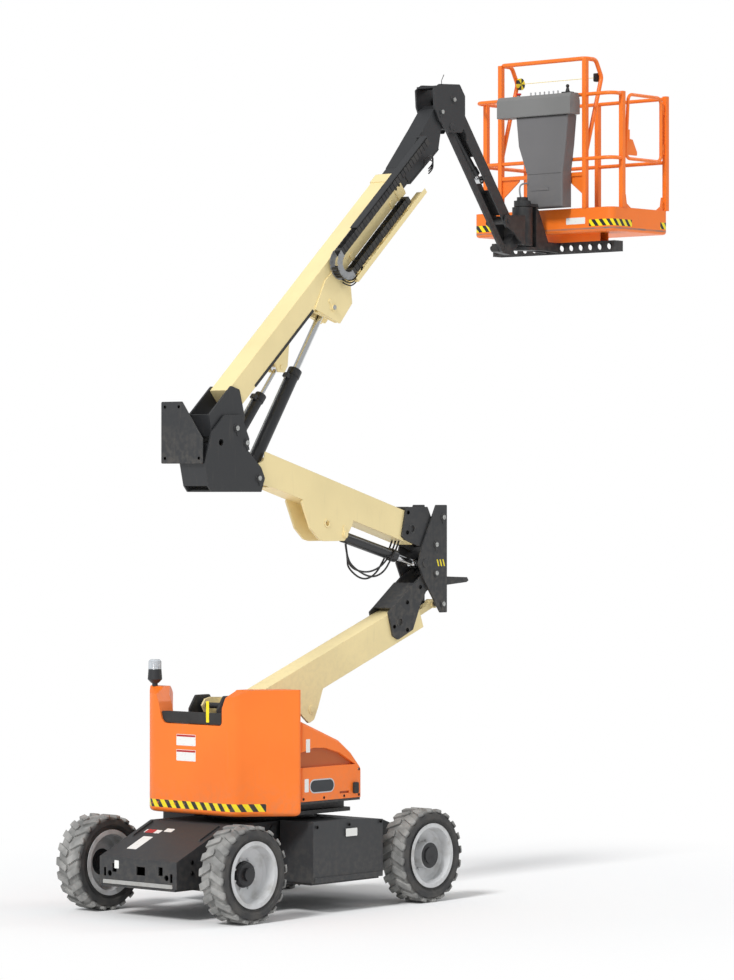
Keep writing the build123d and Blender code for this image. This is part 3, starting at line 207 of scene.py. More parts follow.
world = bpy.data.worlds.new("studio_sky")
world.use_nodes = True
sky = world.node_tree
sky.nodes.clear()
sky_light = sky.nodes.new("ShaderNodeBackground")
sky_light.inputs["Color"].default_value = (0.96, 0.98, 1.0, 1)
sky_light.inputs["Strength"].default_value = 0.55
sky_white = sky.nodes.new("ShaderNodeBackground")
sky_white.inputs["Strength"].default_value = 1.0
sky_white.inputs["Color"].default_value = (1, 1, 1, 1)
ray = sky.nodes.new("ShaderNodeLightPath")
sky_mix = sky.nodes.new("ShaderNodeMixShader")
sky_out = sky.nodes.new("ShaderNodeOutputWorld")
sky.links.new(ray.outputs["Is Camera Ray"], sky_mix.inputs[0])
sky.links.new(sky_light.outputs[0], sky_mix.inputs[1])
sky.links.new(sky_white.outputs[0], sky_mix.inputs[2])
sky.links.new(sky_mix.outputs[0], sky_out.inputs["Surface"])
bpy.context.scene.world = world
bpy.context.scene.view_settings.view_transform = "Standard"

for sun_name, energy, tilt, turn in (("key_sun", 2.1, 48, -80), ("fill_sun", 0.45, 62, 60)):
    sun = bpy.data.objects.new(sun_name, bpy.data.lights.new(sun_name, "SUN"))
    sun.data.energy = energy
    sun.data.angle = math.radians(14)
    sun.rotation_euler = (math.radians(tilt), 0, math.radians(turn))
    bpy.context.scene.collection.objects.link(sun)


# Hydraulic hoses and control cables
# Black rubber hoses with a fine braid. Each runs between two fittings of one moving part and hangs by its own weight
# between them.
hose_rubber = Finish("hose_rubber")
hose_grain = hose_rubber.noise(900, 2)
hose_dust = hose_rubber.noise(14, 3).step(0.52, 0.8)
hose_rubber.surface(
    hose_rubber.mix(hose_dust * 0.4, (0.014, 0.014, 0.015), (0.07, 0.066, 0.06)),
    0.42 + hose_dust * 0.3,
    hose_rubber.bump(hose_grain, 0.0004),
)
cable_grey = Finish("cable_grey")
cable_grey.surface(
    cable_grey.mix(cable_grey.noise(30, 2), (0.2, 0.2, 0.21), (0.3, 0.3, 0.31)), 0.5,
    cable_grey.bump(cable_grey.noise(500, 1), 0.0003),
)
HOSE = 0.015
THIN_HOSE = 0.011


def hose(name, body, points, thickness, finish=hose_rubber):
    """A free hose along a smooth line, from its first point to its last, where it goes back in."""
    curve = bpy.data.curves.new(name, "CURVE")
    curve.dimensions = "3D"
    curve.resolution_u = 10
    curve.use_fill_caps = True
    spline = curve.splines.new("NURBS")
    spline.points.add(len(points) - 1)
    for point, place in zip(spline.points, points):
        point.co = (*place, 1)
    spline.order_u = 3
    spline.use_endpoint_u = True
    piece = bpy.data.objects.new(name, curve)
    bpy.context.scene.collection.objects.link(piece)
    bpy.context.view_layer.update()
    line = bpy.data.meshes.new_from_object(piece.evaluated_get(bpy.context.evaluated_depsgraph_get()))
    ends = ([line.vertices[k].co for k in edge.vertices] for edge in line.edges)
    length = sum((first - last).length for first, last in ends)
    bpy.data.meshes.remove(line)
    curve.bevel_depth = thickness / 2
    curve.bevel_resolution = 3
    curve.materials.append(finish.material)
    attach(piece, body)
    return piece


for k, (dip, y) in enumerate(((2.46, -0.035), (2.50, -0.012), (2.44, 0.014))):
    hose(
        f"mid_cylinder_hose_{k + 1}", "mid arm",
        [at(0.93 + 0.03 * k, y, 2.775), at(0.95 + 0.03 * k, y, 2.66), at(1.02, y * 1.4, 2.58),
         at(1.20, y * 1.8, dip + 0.04), at(1.36, y * 1.8, dip + 0.08), at(1.47, y * 1.5, 2.66),
         at(1.535, y * 1.5, 2.74), at(1.56, y * 1.5, 2.80)],
        HOSE,
    )
for k in range(3):
    hose(
        f"track_feed_hose_{k + 1}", "main boom",
        [at(0.80, -0.118, 4.83 + 0.022 * k), at(0.815, -0.135, 4.815 + 0.022 * k),
         at(0.86, -0.16, 4.80 + 0.02 * k), at(0.92, -0.165, 4.84 + 0.02 * k), at(0.965, -0.16, 4.905 + 0.01 * k),
         at(1.0, -0.155, 4.96)],
        THIN_HOSE,
    )
for k in range(3):
    hose(
        f"fly_nose_hose_{k + 1}", "fly boom",
        [at(1.765, -0.14, 5.845 - 0.014 * k), at(1.80, -0.14, 5.875 - 0.014 * k),
         at(1.865, -0.135, 5.90 - 0.02 * k), at(1.90, -0.125, 5.87 - 0.02 * k), at(1.905, -0.11, 5.82 - 0.02 * k),
         at(1.885, -0.085, 5.79 - 0.02 * k)],
        THIN_HOSE,
    )
hose(
    "platform_control_cable", "platform",
    [at(3.335, 0.02, 5.60), at(3.30, 0.02, 5.60), at(3.265, 0.03, 5.57), at(3.235, 0.05, 5.64),
     at(3.25, 0.075, 5.74), at(3.30, 0.06, 5.77), at(3.335, 0.04, 5.765)],
    0.014, finish=cable_grey,
)

# Counterweight
# One heavy orange casting behind the turntable, with a yellow and black warning band painted along
# its foot. Two blank labels sit under the notch, and a rubber pad and a yellow strip line the notch.
def shown(red, green, blue):
    """A paint's colour, given as it shows on a screen, as the linear values that a shader takes."""
    return tuple(((c / 255 + 0.055) / 1.055) ** 2.4 if c > 10 else c / 3294 for c in (red, green, blue))


ORANGE = shown(252, 124, 34)
CREAM = shown(248, 228, 170)
BLACK = shown(44, 45, 47)
CHASSIS_BLACK = shown(52, 53, 55)
WARNING_YELLOW = shown(250, 228, 24)
LABEL_WHITE = shown(236, 236, 232)
ROAD_DIRT = shown(150, 140, 124)
PRIMER = shown(120, 116, 110)


def painted(name, colour, roughness=0.36, grime=0.3, chips=0.5, edge=0.0035, pattern=None, low=0.0, high=0.9):
    """A sprayed coat: slow fading, rain streaks, dust that gathers low down, and chipped edges."""
    coat = Finish(name)
    fading = coat.noise(1.9, 3)
    mottle = coat.noise(23, 3)
    streaks = coat.noise(7, 4, coat.stretched((5, 5, 0.6)))
    base = coat.mix(fading.step(0.3, 0.75), shade(colour, 1.03), shade(colour, 0.93))
    if pattern is not None:
        base = pattern(coat, base)
    dusty = (1 - coat.z.step(low, high)) * mottle.step(0.35, 0.75) * grime
    streaked = streaks.step(0.55, 0.85) * grime * 0.45
    base = coat.mix(dusty * 0.8, base, ROAD_DIRT)
    base = coat.mix(streaked, base, shade(ROAD_DIRT, 0.7))
    rounded = coat.soft_edge(edge)
    chipped = coat.edge_mask(rounded) * coat.noise(46, 4).step(0.5, 0.62) * chips
    base = coat.mix(chipped, base, PRIMER)
    peel = coat.bump(coat.noise(260, 2) * 0.7 + mottle * 0.3, 0.0005, 0.5, rounded)
    coat.surface(base, roughness + mottle * 0.1 + dusty * 0.3 + chipped * 0.2, peel)
    return coat


def dress(finish, *nodes):
    for node in nodes:
        shown_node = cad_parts[node]
        if not shown_node.material_slots:
            shown_node.data.materials.append(finish.material)
        for material_slot in shown_node.material_slots:
            material_slot.material = finish.material


def as_piece(name, mesh, body, finish):
    """A finished mesh as a piece of the lift that rides on one body."""
    piece = bpy.data.objects.new(name, mesh)
    mesh.materials.clear()
    mesh.materials.append(finish.material)
    bpy.context.scene.collection.objects.link(piece)
    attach(piece, body)
    return piece


def rounded_outline(width, height, corner, steps=4):
    points = []
    for k, (sx, sy) in enumerate(((1, 1), (-1, 1), (-1, -1), (1, -1))):
        for j in range(steps + 1):
            angle = math.pi / 2 * (k + j / steps)
            points.append((
                sx * (width / 2 - corner) + corner * math.cos(angle),
                sy * (height / 2 - corner) + corner * math.sin(angle),
            ))
    return points


def slab(outline, thickness):
    """A flat plate with an outline drawn in XY, its back at z = 0."""
    shape = bmesh.new()
    ring = [shape.verts.new((x, y, 0)) for x, y in outline]
    face = shape.faces.new(ring)
    raised = bmesh.ops.extrude_face_region(shape, geom=[face])
    top = [v for v in raised["geom"] if isinstance(v, bmesh.types.BMVert)]
    bmesh.ops.translate(shape, vec=(0, 0, thickness), verts=top)
    bmesh.ops.recalc_face_normals(shape, faces=shape.faces)
    mesh = bpy.data.meshes.new("slab")
    shape.to_mesh(mesh)
    shape.free()
    return mesh


def facing(place, out, up=(0, 0, 1)):
    """The matrix that sets a piece drawn in XY on a spot, with its z outwards and its y up."""
    out = Vector(out).normalized()
    right = Vector(up).cross(out).normalized()
    upright = out.cross(right)
    return Matrix.Translation(place) @ Matrix((right, upright, out)).transposed().to_4x4()


def gathered(placed_meshes):
    """One mesh of several, each with its matrix."""
    whole = bmesh.new()
    for mesh, matrix in placed_meshes:
        part = bmesh.new()
        part.from_mesh(mesh)
        bmesh.ops.transform(part, matrix=matrix, verts=part.verts)
        moved = bpy.data.meshes.new("part")
        part.to_mesh(moved)
        part.free()
        whole.from_mesh(moved)
        bpy.data.meshes.remove(moved)
    mesh = bpy.data.meshes.new("gathered")
    whole.to_mesh(mesh)
    whole.free()
    return mesh


REAR_FACE_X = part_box("counterweight")[0][0]
BAND_LOW, BAND_HIGH = 0.79, 0.848
BAND_PITCH = 0.092


def warning_band(coat, base):
    around = coat.y.math("ABSOLUTE") + (coat.x - REAR_FACE_X) * 0.5
    stripe = (coat.z * 0.7 - around * coat.y.math("SIGN")).math("DIVIDE", BAND_PITCH).math("FRACT").above(0.52)
    inside = coat.z.above(BAND_LOW) * coat.z.below(BAND_HIGH) * coat.x.below(REAR_FACE_X + 0.2)
    scuffed = coat.noise(40, 4).step(0.62, 0.7) * 0.7
    band = coat.mix(stripe, WARNING_YELLOW, shade(BLACK, 0.7))
    return coat.mix(inside * (1 - scuffed), base, band)


weight_orange = painted("counterweight_orange", ORANGE, pattern=warning_band, low=0.7, high=1.1, grime=0.25)
dress(weight_orange, "counterweight")
label_print = Finish("blank_label")
label_worn = label_print.noise(55, 4).step(0.6, 0.75)
label_print.surface(
    label_print.mix(label_worn * 0.35, LABEL_WHITE, shade(ROAD_DIRT, 0.9)), 0.4 + label_worn * 0.3,
    label_print.bump(label_print.noise(300, 2), 0.0002),
)
red_print = Finish("red_print")
red_print.surface(
    red_print.mix(red_print.noise(50, 3), shown(196, 40, 34), shown(170, 34, 30)), 0.42,
    red_print.bump(red_print.noise(300, 2), 0.0002),
)
LABEL_THICKNESS = 0.0012


def label(name, body, place, out, width, height, finish=label_print, corner=0.006, up=(0, 0, 1)):
    mesh = slab(rounded_outline(width, height, corner), LABEL_THICKNESS)
    mesh.transform(facing(place, out, up))
    return as_piece(name, mesh, body, finish)


for name, z in (("weight_label_upper", 1.31), ("weight_label_lower", 1.194)):
    label(name, "turntable", at(-0.805, 0.04, z), (-1, 0, 0), 0.2, 0.085)
    label(name + "_red_top", "turntable", at(-0.8062, 0.04, z + 0.032), (-1, 0, 0), 0.194, 0.014, red_print, 0.002)

rubber_pad = Finish("rubber_pad")
rubber_pad.surface(
    rubber_pad.mix(rubber_pad.noise(12, 3), shown(30, 30, 31), shown(58, 57, 55)), 0.7,
    rubber_pad.bump(rubber_pad.noise(150, 3), 0.0008, 1.0, rubber_pad.soft_edge(0.003)),
)
yellow_print = Finish("yellow_print")
yellow_print.surface(
    yellow_print.mix(yellow_print.noise(20, 4).step(0.5, 0.75), WARNING_YELLOW, shade(WARNING_YELLOW, 0.8)), 0.4,
    yellow_print.bump(yellow_print.noise(200, 2), 0.0003),
)
notch_band = slab(rounded_outline(0.62, 0.085, 0.012), 0.05)
notch_band.transform(facing(at(-0.74, 0.0, 1.478), (-1, 0, 0)))
as_piece("notch_hose_band", notch_band, "turntable", rubber_pad)
label("notch_yellow_strip", "turntable", at(-0.79, -0.17, 1.53), (-1, 0, 0), 0.03, 0.16, yellow_print, 0.003)

# Hoods and their catches
# Moulded orange covers over the valves and pump on both sides, with a scooped recess whose darker orange is painted
# shade. Each has a plain oval badge plate, two blank labels, a rubber catch and a line of small zinc screws.
def painted_scoop_shade(coat, base):
    out = coat.node("ShaderNodeNewGeometry", {}, {}, out="Normal")
    sideways = coat.node("ShaderNodeSeparateXYZ", {}, {0: out}, out=1).math("ABSOLUTE").above(0.9)
    depth = coat.y.math("ABSOLUTE")
    # Painted shade: the sunk floor of the scoop is darkened to stand in for the shadow in the recess.
    shaded_recess = depth.above(0.712) * depth.below(0.735) * sideways
    return coat.mix(shaded_recess * 0.75, base, shade(ORANGE, 0.3))


dress(painted("hood_orange", ORANGE, pattern=painted_scoop_shade, low=0.8, high=1.2, grime=0.25), "hood_left", "hood_right")
badge_silver = Finish("badge_silver")
badge_silver.surface(
    badge_silver.mix(badge_silver.noise(18, 3), shown(214, 216, 218), shown(188, 190, 192)), 0.32,
    badge_silver.bump(badge_silver.noise(300, 2), 0.0003), metallic=0.2,
)


badge_black = Finish("badge_black")
badge_black.surface(
    badge_black.mix(badge_black.noise(18, 3), shown(30, 34, 38), shown(46, 50, 54)), 0.3,
    badge_black.bump(badge_black.noise(300, 2), 0.0002),
)


def bolt_circle_tree():
    """Hexagon heads on washers, set evenly round a circle."""
    tree = bpy.data.node_groups.new("bolt_circle", "GeometryNodeTree")
    tree.interface.new_socket("Geometry", in_out="OUTPUT", socket_type="NodeSocketGeometry")
    sizes = {"Count": "NodeSocketInt", "Circle radius": "NodeSocketFloat", "Head radius": "NodeSocketFloat",
             "Head height": "NodeSocketFloat"}
    for title, kind in sizes.items():
        tree.interface.new_socket(title, in_out="INPUT", socket_type=kind)
    tree.interface.new_socket("Finish", in_out="INPUT", socket_type="NodeSocketMaterial")
    given = tree.nodes.new("NodeGroupInput")
    made = tree.nodes.new("NodeGroupOutput")
    circle = tree.nodes.new("GeometryNodeMeshCircle")
    head = tree.nodes.new("GeometryNodeMeshCylinder")
    head.inputs["Vertices"].default_value = 6
    washer = tree.nodes.new("GeometryNodeMeshCylinder")
    washer.inputs["Vertices"].default_value = 14
    wider = tree.nodes.new("ShaderNodeMath")
    wider.operation = "MULTIPLY"
    wider.inputs[1].default_value = 1.35
    thinner = tree.nodes.new("ShaderNodeMath")
    thinner.operation = "MULTIPLY"
    thinner.inputs[1].default_value = 0.4
    both = tree.nodes.new("GeometryNodeJoinGeometry")
    spread = tree.nodes.new("GeometryNodeInstanceOnPoints")
    solid = tree.nodes.new("GeometryNodeRealizeInstances")
    coloured = tree.nodes.new("GeometryNodeSetMaterial")
    link = tree.links.new
    link(given.outputs["Count"], circle.inputs["Vertices"])
    link(given.outputs["Circle radius"], circle.inputs["Radius"])
    link(given.outputs["Head radius"], head.inputs["Radius"])
    link(given.outputs["Head height"], head.inputs["Depth"])
    link(given.outputs["Head radius"], wider.inputs[0])
    link(given.outputs["Head height"], thinner.inputs[0])
    link(wider.outputs[0], washer.inputs["Radius"])
    link(thinner.outputs[0], washer.inputs["Depth"])
    link(head.outputs["Mesh"], both.inputs[0])
    link(washer.outputs["Mesh"], both.inputs[0])
    link(circle.outputs["Mesh"], spread.inputs["Points"])
    link(both.outputs[0], spread.inputs["Instance"])
    link(spread.outputs[0], solid.inputs[0])
    link(solid.outputs[0], coloured.inputs["Geometry"])
    link(given.outputs["Finish"], coloured.inputs["Material"])
    link(coloured.outputs[0], made.inputs[0])
    return tree


def grown(tree, sizes):
    """The plain mesh that a tree makes with the given inputs."""
    seed = bpy.data.objects.new("seed", bpy.data.meshes.new("seed"))
    bpy.context.scene.collection.objects.link(seed)
    modifier = seed.modifiers.new("grow", "NODES")
    modifier.node_group = tree
    for item in tree.interface.items_tree:
        if item.item_type == "SOCKET" and item.in_out == "INPUT" and item.name in sizes:
            modifier[item.identifier] = sizes[item.name]
    bpy.context.view_layer.update()
    mesh = bpy.data.meshes.new_from_object(seed.evaluated_get(bpy.context.evaluated_depsgraph_get()))
    bpy.data.objects.remove(seed)
    return mesh


zinc = Finish("zinc_plate")
zinc_spots = zinc.noise(90, 3)
zinc.surface(
    zinc.mix(zinc_spots.step(0.4, 0.7), shown(196, 197, 194), shown(150, 150, 146)), 0.34 + zinc_spots * 0.2,
    zinc.bump(zinc_spots, 0.0003, 1.0, zinc.soft_edge(0.001)), metallic=0.85,
)
black_bolt = Finish("blacked_steel")
black_bolt.surface(
    black_bolt.mix(black_bolt.noise(60, 3), shown(34, 34, 35), shown(66, 64, 62)), 0.45,
    black_bolt.bump(black_bolt.noise(200, 2), 0.0003, 1.0, black_bolt.soft_edge(0.001)), metallic=0.5,
)
BOLT_CIRCLE = bolt_circle_tree()


def bolt_circle(count, radius, head, height, finish):
    sizes = {"Count": count, "Circle radius": radius, "Head radius": head, "Head height": height,
             "Finish": finish.material}
    return grown(BOLT_CIRCLE, sizes)


def bolts(name, body, finish, rings):
    """Rings of bolt heads on one body: (place, out, count, circle radius, head radius) for each."""
    meshes = []
    for place, out, count, radius, head in rings:
        up = (0, 0, 1) if abs(Vector(out).normalized().z) < 0.9 else (1, 0, 0)
        meshes.append((bolt_circle(count, radius, head, head * 1.1, finish), facing(place, out, up)))
    return as_piece(name, gathered(meshes), body, finish)


def screw_spots(places, out, head):
    """Single screws: each is a circle of three that closes on itself at its own centre."""
    return [(place, out, 3, 0.0001, head) for place in places]


HOOD_FACE_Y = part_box("hood_left")[1][1]
for side, word in ((-1, "right"), (1, "left")):
    face = side * HOOD_FACE_Y
    out = (0, side, 0)
    label(f"hood_badge_{word}", "turntable", at(-0.141, face, 0.966), out, 0.28, 0.106, badge_silver, 0.05)
    label(f"hood_badge_field_{word}", "turntable", at(-0.141, face + side * 0.001, 0.966), out, 0.262, 0.088,
          badge_black, 0.043)
    label(f"hood_label_upper_{word}", "turntable", at(-0.3, face, 1.275), out, 0.045, 0.1)
    label(f"hood_label_lower_{word}", "turntable", at(-0.315, face, 0.976), out, 0.045, 0.1)
    catch = slab(rounded_outline(0.05, 0.085, 0.012), 0.02)
    catch.transform(facing(at(0.235, face, 0.93), out))
    as_piece(f"hood_catch_{word}", catch, "turntable", rubber_pad)
    spots = [at(x, face, 0.875) for x in (-0.35, -0.12, 0.11, 0.28)] + [at(0.28, face, 1.07)]
    bolts(f"hood_screws_{word}", "turntable", zinc, screw_spots(spots, out, 0.008))

# Beacon
# A flashing lamp on the counterweight's left shoulder: a black cast cup under a clear ribbed cap.
BEACON_CUP_HEIGHT = 0.131
BEACON_BREAK_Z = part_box("beacon")[0][2] + BEACON_CUP_HEIGHT
beacon_cap = Finish("beacon_cap")
beacon_ribs = (beacon_cap.z * 420).math("SINE")
beacon_foot = beacon_cap.z.below(BEACON_BREAK_Z)
beacon_clear = beacon_cap.mix(beacon_cap.noise(30, 2), shown(214, 218, 222), shown(176, 182, 188))
beacon_cap.surface(
    beacon_cap.mix(beacon_foot, beacon_clear, BLACK),
    0.16 + beacon_foot * 0.3,
    beacon_cap.bump(beacon_ribs * (1 - beacon_foot), 0.0015, 0.8, beacon_cap.soft_edge(0.002)),
)
dress(beacon_cap, "beacon")

# Chassis, battery boxes and turntable
# Black welded frame on four wheels, with dark battery boxes hung between them and the turntable's
# welded frame above. Both carry road dust. The nose plate carries blank decals.
dress(painted("chassis_black", CHASSIS_BLACK, 0.5, grime=0.16, low=0.15, high=0.8, chips=0.35), "chassis_frame")
dress(
    painted("battery_box_grey", shown(54, 55, 57), 0.5, grime=0.14, low=0.2, high=0.8, chips=0.35),
    "battery_box_left", "battery_box_right",
)
dress(painted("turntable_black", BLACK, 0.45, grime=0.2, low=0.6, high=1.4), "turntable_frame")
cast_steel = painted("cast_steel_black", shown(50, 50, 51), 0.55, grime=0.35, low=0.1, high=0.9, chips=0.6)
dress(cast_steel, "steer_knuckle_left", "steer_knuckle_right", "power_unit", "slew_ring")
dress(painted("tie_rod_black", BLACK, 0.5, grime=0.5, low=0.1, high=0.5), "tie_rod")
ring_z = ring_high[2]
bolts(
    "slew_ring_bolts", "chassis", black_bolt,
    [(at(0, 0, ring_z - 0.055), (0, 0, 1), 24, 0.43, 0.011)],
)
NOSE_X = -1.365
label("nose_face_label", "chassis", at(NOSE_X, 0.221, 0.40), (-1, 0, 0), 0.045, 0.06)
NOSE_SLOPE = math.atan2(0.69 - 0.452, 1.365 - 0.82)
nose_out = (-math.sin(NOSE_SLOPE), 0, math.cos(NOSE_SLOPE))
decals = ((-0.978, 0.219, 0.05, 0.16), (-0.948, 0.077, 0.05, 0.08), (-1.145, 0.194, 0.2, 0.1))
for k, (x, y, length, width) in enumerate(decals):
    spot = at(x, y, 0.452 + (x + 1.365) * math.tan(NOSE_SLOPE))
    label(f"nose_decal_{k + 1}", "chassis", spot, nose_out, width, length, up=(1, 0, 1))
label("nose_decal_red_edge", "chassis", at(-0.978, 0.24, 0.6219), nose_out, 0.09, 0.052, red_print, 0.003, (1, 0, 1))
grey_strip = painted("bumper_strip_grey", shown(168, 168, 166), 0.5, grime=0.5, low=0.1, high=0.5)
strip = slab(rounded_outline(0.72, 0.03, 0.006), 0.006)
strip.transform(facing(at(NOSE_X, 0, 0.268), (-1, 0, 0)))
as_piece("bumper_strip", strip, "chassis", grey_strip)
for side, word in ((-1, "right"), (1, "left")):
    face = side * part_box("battery_box_left")[1][1]
    label(f"battery_label_{word}", "chassis", at(0.14, face, 0.6), (0, side, 0), 0.13, 0.06)
    spots = [at(x, face, 0.66) for x in (-0.25, 0.115, 0.48)]
    bolts(f"battery_box_screws_{word}", "chassis", black_bolt, screw_spots(spots, (0, side, 0), 0.009))
    spots = [at(x, side * 0.4, z) for x in (-1.2, -0.85, 0.65, 1.12) for z in (0.36, 0.44)]
    bolts(f"chassis_bolts_{word}", "chassis", black_bolt, screw_spots(spots, (0, side, 0), 0.012))

# Wheels
# Foam filled lugged tyres on dished steel rims: the tread is worn pale with dust and the side wall is charcoal with
# moulded rings. The hubs are black.
TREAD_RADIUS = 0.328
RIM_HUB_RADIUS = 0.1
for axle in ("steer", "drive"):
    for side, word in ((-1, "right"), (1, "left")):
        low, high = (Vector(corner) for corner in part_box(f"tyre_{axle}_{word}"))
        middle = (low + high) / 2
        tyre = Finish(f"tyre_rubber_{axle}_{word}")
        from_axle = (
            (tyre.x - middle.x).math("POWER", 2) + (tyre.z - middle.z).math("POWER", 2)
        ).math("SQRT")
        tread = from_axle.step(TREAD_RADIUS, TREAD_RADIUS + 0.024)
        dust = tyre.noise(9, 4).step(0.3, 0.75)
        fine = tyre.noise(160, 3)
        rings = (from_axle * 700).math("SINE") * from_axle.above(0.262) * from_axle.below(0.29)
        ring_edge = from_axle.above(0.25) * from_axle.below(0.256)
        rubber = tyre.mix(tread, tyre.mix(dust, shown(58, 58, 59), shown(84, 82, 79)),
                          tyre.mix(dust, shown(124, 124, 122), shown(168, 167, 164)))
        tyre.surface(
            rubber, 0.78 + dust * 0.15,
            tyre.bump(rings * 0.5 + ring_edge + fine * 0.35 * (1 + tread), 0.0022, 0.8, tyre.soft_edge(0.004)),
        )
        dress(tyre, f"tyre_{axle}_{word}")
        rim = Finish(f"rim_grey_{axle}_{word}")
        from_axle = ((rim.x - middle.x).math("POWER", 2) + (rim.z - middle.z).math("POWER", 2)).math("SQRT")
        hub = 1 - from_axle.step(RIM_HUB_RADIUS - 0.002, RIM_HUB_RADIUS + 0.002)
        rim_dust = rim.noise(11, 4).step(0.4, 0.75)
        rounded = rim.soft_edge(0.003)
        rim_chips = rim.edge_mask(rounded) * rim.noise(60, 3).step(0.5, 0.65)
        rim.surface(
            rim.mix(hub, rim.mix(rim_dust * 0.5, shown(206, 207, 208), shown(150, 146, 138)),
                    rim.mix(rim_chips, shown(38, 38, 40), shown(96, 94, 90))),
            0.42 + rim_dust * 0.25,
            rim.bump(rim.noise(240, 2), 0.0004, 0.6, rounded),
        )
        dress(rim, f"rim_{axle}_{word}")

# Tower arms and their brackets
# Cream box arms with black plate brackets and uprights. The pins' bright turned ends show as zinc caps, and slanted
# yellow marks are painted on the middle upright's near plate.
cream_low = painted("tower_cream", CREAM, 0.4, grime=0.22, low=1.2, high=2.4, chips=0.4)
cream_high = painted("boom_cream", CREAM, 0.38, grime=0.14, low=2.0, high=4.0, chips=0.35)
black_plate = painted("bracket_black", BLACK, 0.42, grime=0.3, low=1.5, high=3.5, chips=0.6)
dress(cream_low, "lower_arm", "lower_link", "mid_arm")
dress(black_plate, "lower_arm_bracket", "mid_arm_bracket", "upper_upright", "boom_rear_bracket")


def slanted_marks(coat, base):
    along = coat.x - (SLEW_X + 1.95) + (coat.z - 2.61) * 0.35
    stripe = (along / 0.036).math("FRACT").below(0.42)
    inside = along.above(0) * along.below(0.1) * coat.z.above(2.585) * coat.z.below(2.64)
    near = coat.y.below(-0.12)
    return coat.mix(stripe * inside * near, base, WARNING_YELLOW)


upright_black = painted("upright_black", BLACK, 0.42, grime=0.3, low=1.5, high=3.5, chips=0.6, pattern=slanted_marks)
dress(upright_black, "mid_upright")


def round_outline(radius, steps):
    turns = [math.tau * k / steps for k in range(steps)]
    return [(radius * math.cos(turn), radius * math.sin(turn)) for turn in turns]


def pin_caps(name, body, face, pins, radius=0.019):
    """The bright turned end of each pin, seen inside its keeper's ring."""
    cap = slab(round_outline(radius, 24), 0.004)
    placed = [(cap, facing(at(x, side * face, z), (0, side, 0))) for side in (-1, 1) for x, z in pins]
    as_piece(name, gathered(placed), body, zinc)


pin_caps("upright_pin_caps", "mid upright", 0.1335, ((1.935, 2.53), (2.02, 2.28), (1.935, 2.76), (2.025, 2.98)))
pin_caps("boom_foot_pin_caps", "upper upright", 0.143, ((-0.18, 3.29), (-0.43, 3.67), (-0.32, 3.56)))
BRACKET_FACE_Y = 0.1063
bracket_bolts = (
    ("lower_bracket_bolts", "lower arm", ((1.44, 2.11), (1.60, 2.08), (1.60, 2.30), (1.76, 2.42))),
    ("mid_bracket_bolts", "mid arm", ((1.61, 3.02), (1.60, 2.86))),
)
for name, body, spots in bracket_bolts:
    rings = []
    for side in (-1, 1):
        rings += screw_spots([at(x, side * BRACKET_FACE_Y, z) for x, z in spots], (0, side, 0), 0.012)
    bolts(name, body, black_bolt, rings)

# Cylinders
# Black barrels with hard chromed rods, with a port block at each end and a steel feed pipe along the lower, main and
# levelling barrels.
barrel_black = painted("barrel_black", shown(40, 41, 43), 0.32, grime=0.25, low=0.8, high=3.0, chips=0.5)
cylinders = ("lower", "mid", "main", "level", "jib")
dress(barrel_black, *(f"{name}_cylinder_barrel" for name in cylinders))
chrome = Finish("hard_chrome")
wiped = chrome.noise(14, 3)
scratches = chrome.noise(60, 2, chrome.stretched((1, 14, 1)))
chrome.surface(
    chrome.mix(wiped, (0.72, 0.73, 0.74), (0.62, 0.62, 0.62)), 0.12 + scratches.step(0.5, 0.8) * 0.16,
    chrome.bump(scratches, 0.0001), metallic=1.0,
)
dress(chrome, *(f"{name}_cylinder_rod" for name in cylinders))


def pipe(name, body, points, thickness, finish):
    """A bent steel pipe through the given points, riding on one body."""
    curve = bpy.data.curves.new(name, "CURVE")
    curve.dimensions = "3D"
    spline = curve.splines.new("POLY")
    spline.points.add(len(points) - 1)
    for point, place in zip(spline.points, points):
        point.co = (*place, 1)
    curve.bevel_depth = thickness / 2
    curve.bevel_resolution = 3
    curve.use_fill_caps = True
    maker = bpy.data.objects.new(name + "_line", curve)
    bpy.context.scene.collection.objects.link(maker)
    bpy.context.view_layer.update()
    mesh = bpy.data.meshes.new_from_object(maker.evaluated_get(bpy.context.evaluated_depsgraph_get()))
    bpy.data.objects.remove(maker)
    return as_piece(name, mesh, body, finish)


def feed_line(name, body, foot, head, gap, near, far):
    """A port block at each end of a barrel and the pipe between them, on the barrel's upper side."""
    foot, head = at(*foot), at(*head)
    along = (head - foot).normalized()
    up = Vector((0, 1, 0)).cross(along)
    up = -up if up.z < 0 else up
    ends = [foot + along * near, foot + along * far]
    block_mesh = slab(rounded_outline(0.05, 0.04, 0.006), 0.032)
    placed = [(block_mesh, facing(end + up * (gap - 0.006), up, along)) for end in ends]
    as_piece(name + "_port_blocks", gathered(placed), body, barrel_black)
    rise = up * (gap + 0.016)
    pipe(name + "_feed_pipe", body, [end + rise for end in ends], 0.012, zinc)


feed_line("lower_cylinder", "lower barrel", (-0.56, 0, 0.85), (0.47, 0, 1.49), 0.05, 0.12, 0.74)
feed_line("main_cylinder", "main barrel", (-0.18, 0, 3.29), (0.71, 0, 4.63), 0.052, 0.14, 0.92)
feed_line("level_cylinder", "level barrel", (-0.32, 0, 3.56), (0.165, 0, 4.15), 0.042, 0.09, 0.42)

# Valve guard
# A folded black sheet behind the upper upright that shields its valves, held by four screws.
dress(painted("guard_black", shown(48, 49, 51), 0.4, grime=0.3, low=3.0, high=4.0), "valve_guard")
GUARD_BACK_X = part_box("valve_guard")[0][0]
guard_screw_places = ((0.26, 3.44), (0.26, 3.83), (0.115, 3.83), (-0.095, 3.44))
spots = [Vector((GUARD_BACK_X, y, z)) for y, z in guard_screw_places]
bolts("guard_screws", "upper upright", black_bolt, screw_spots(spots, (-1, 0, 0), 0.009))

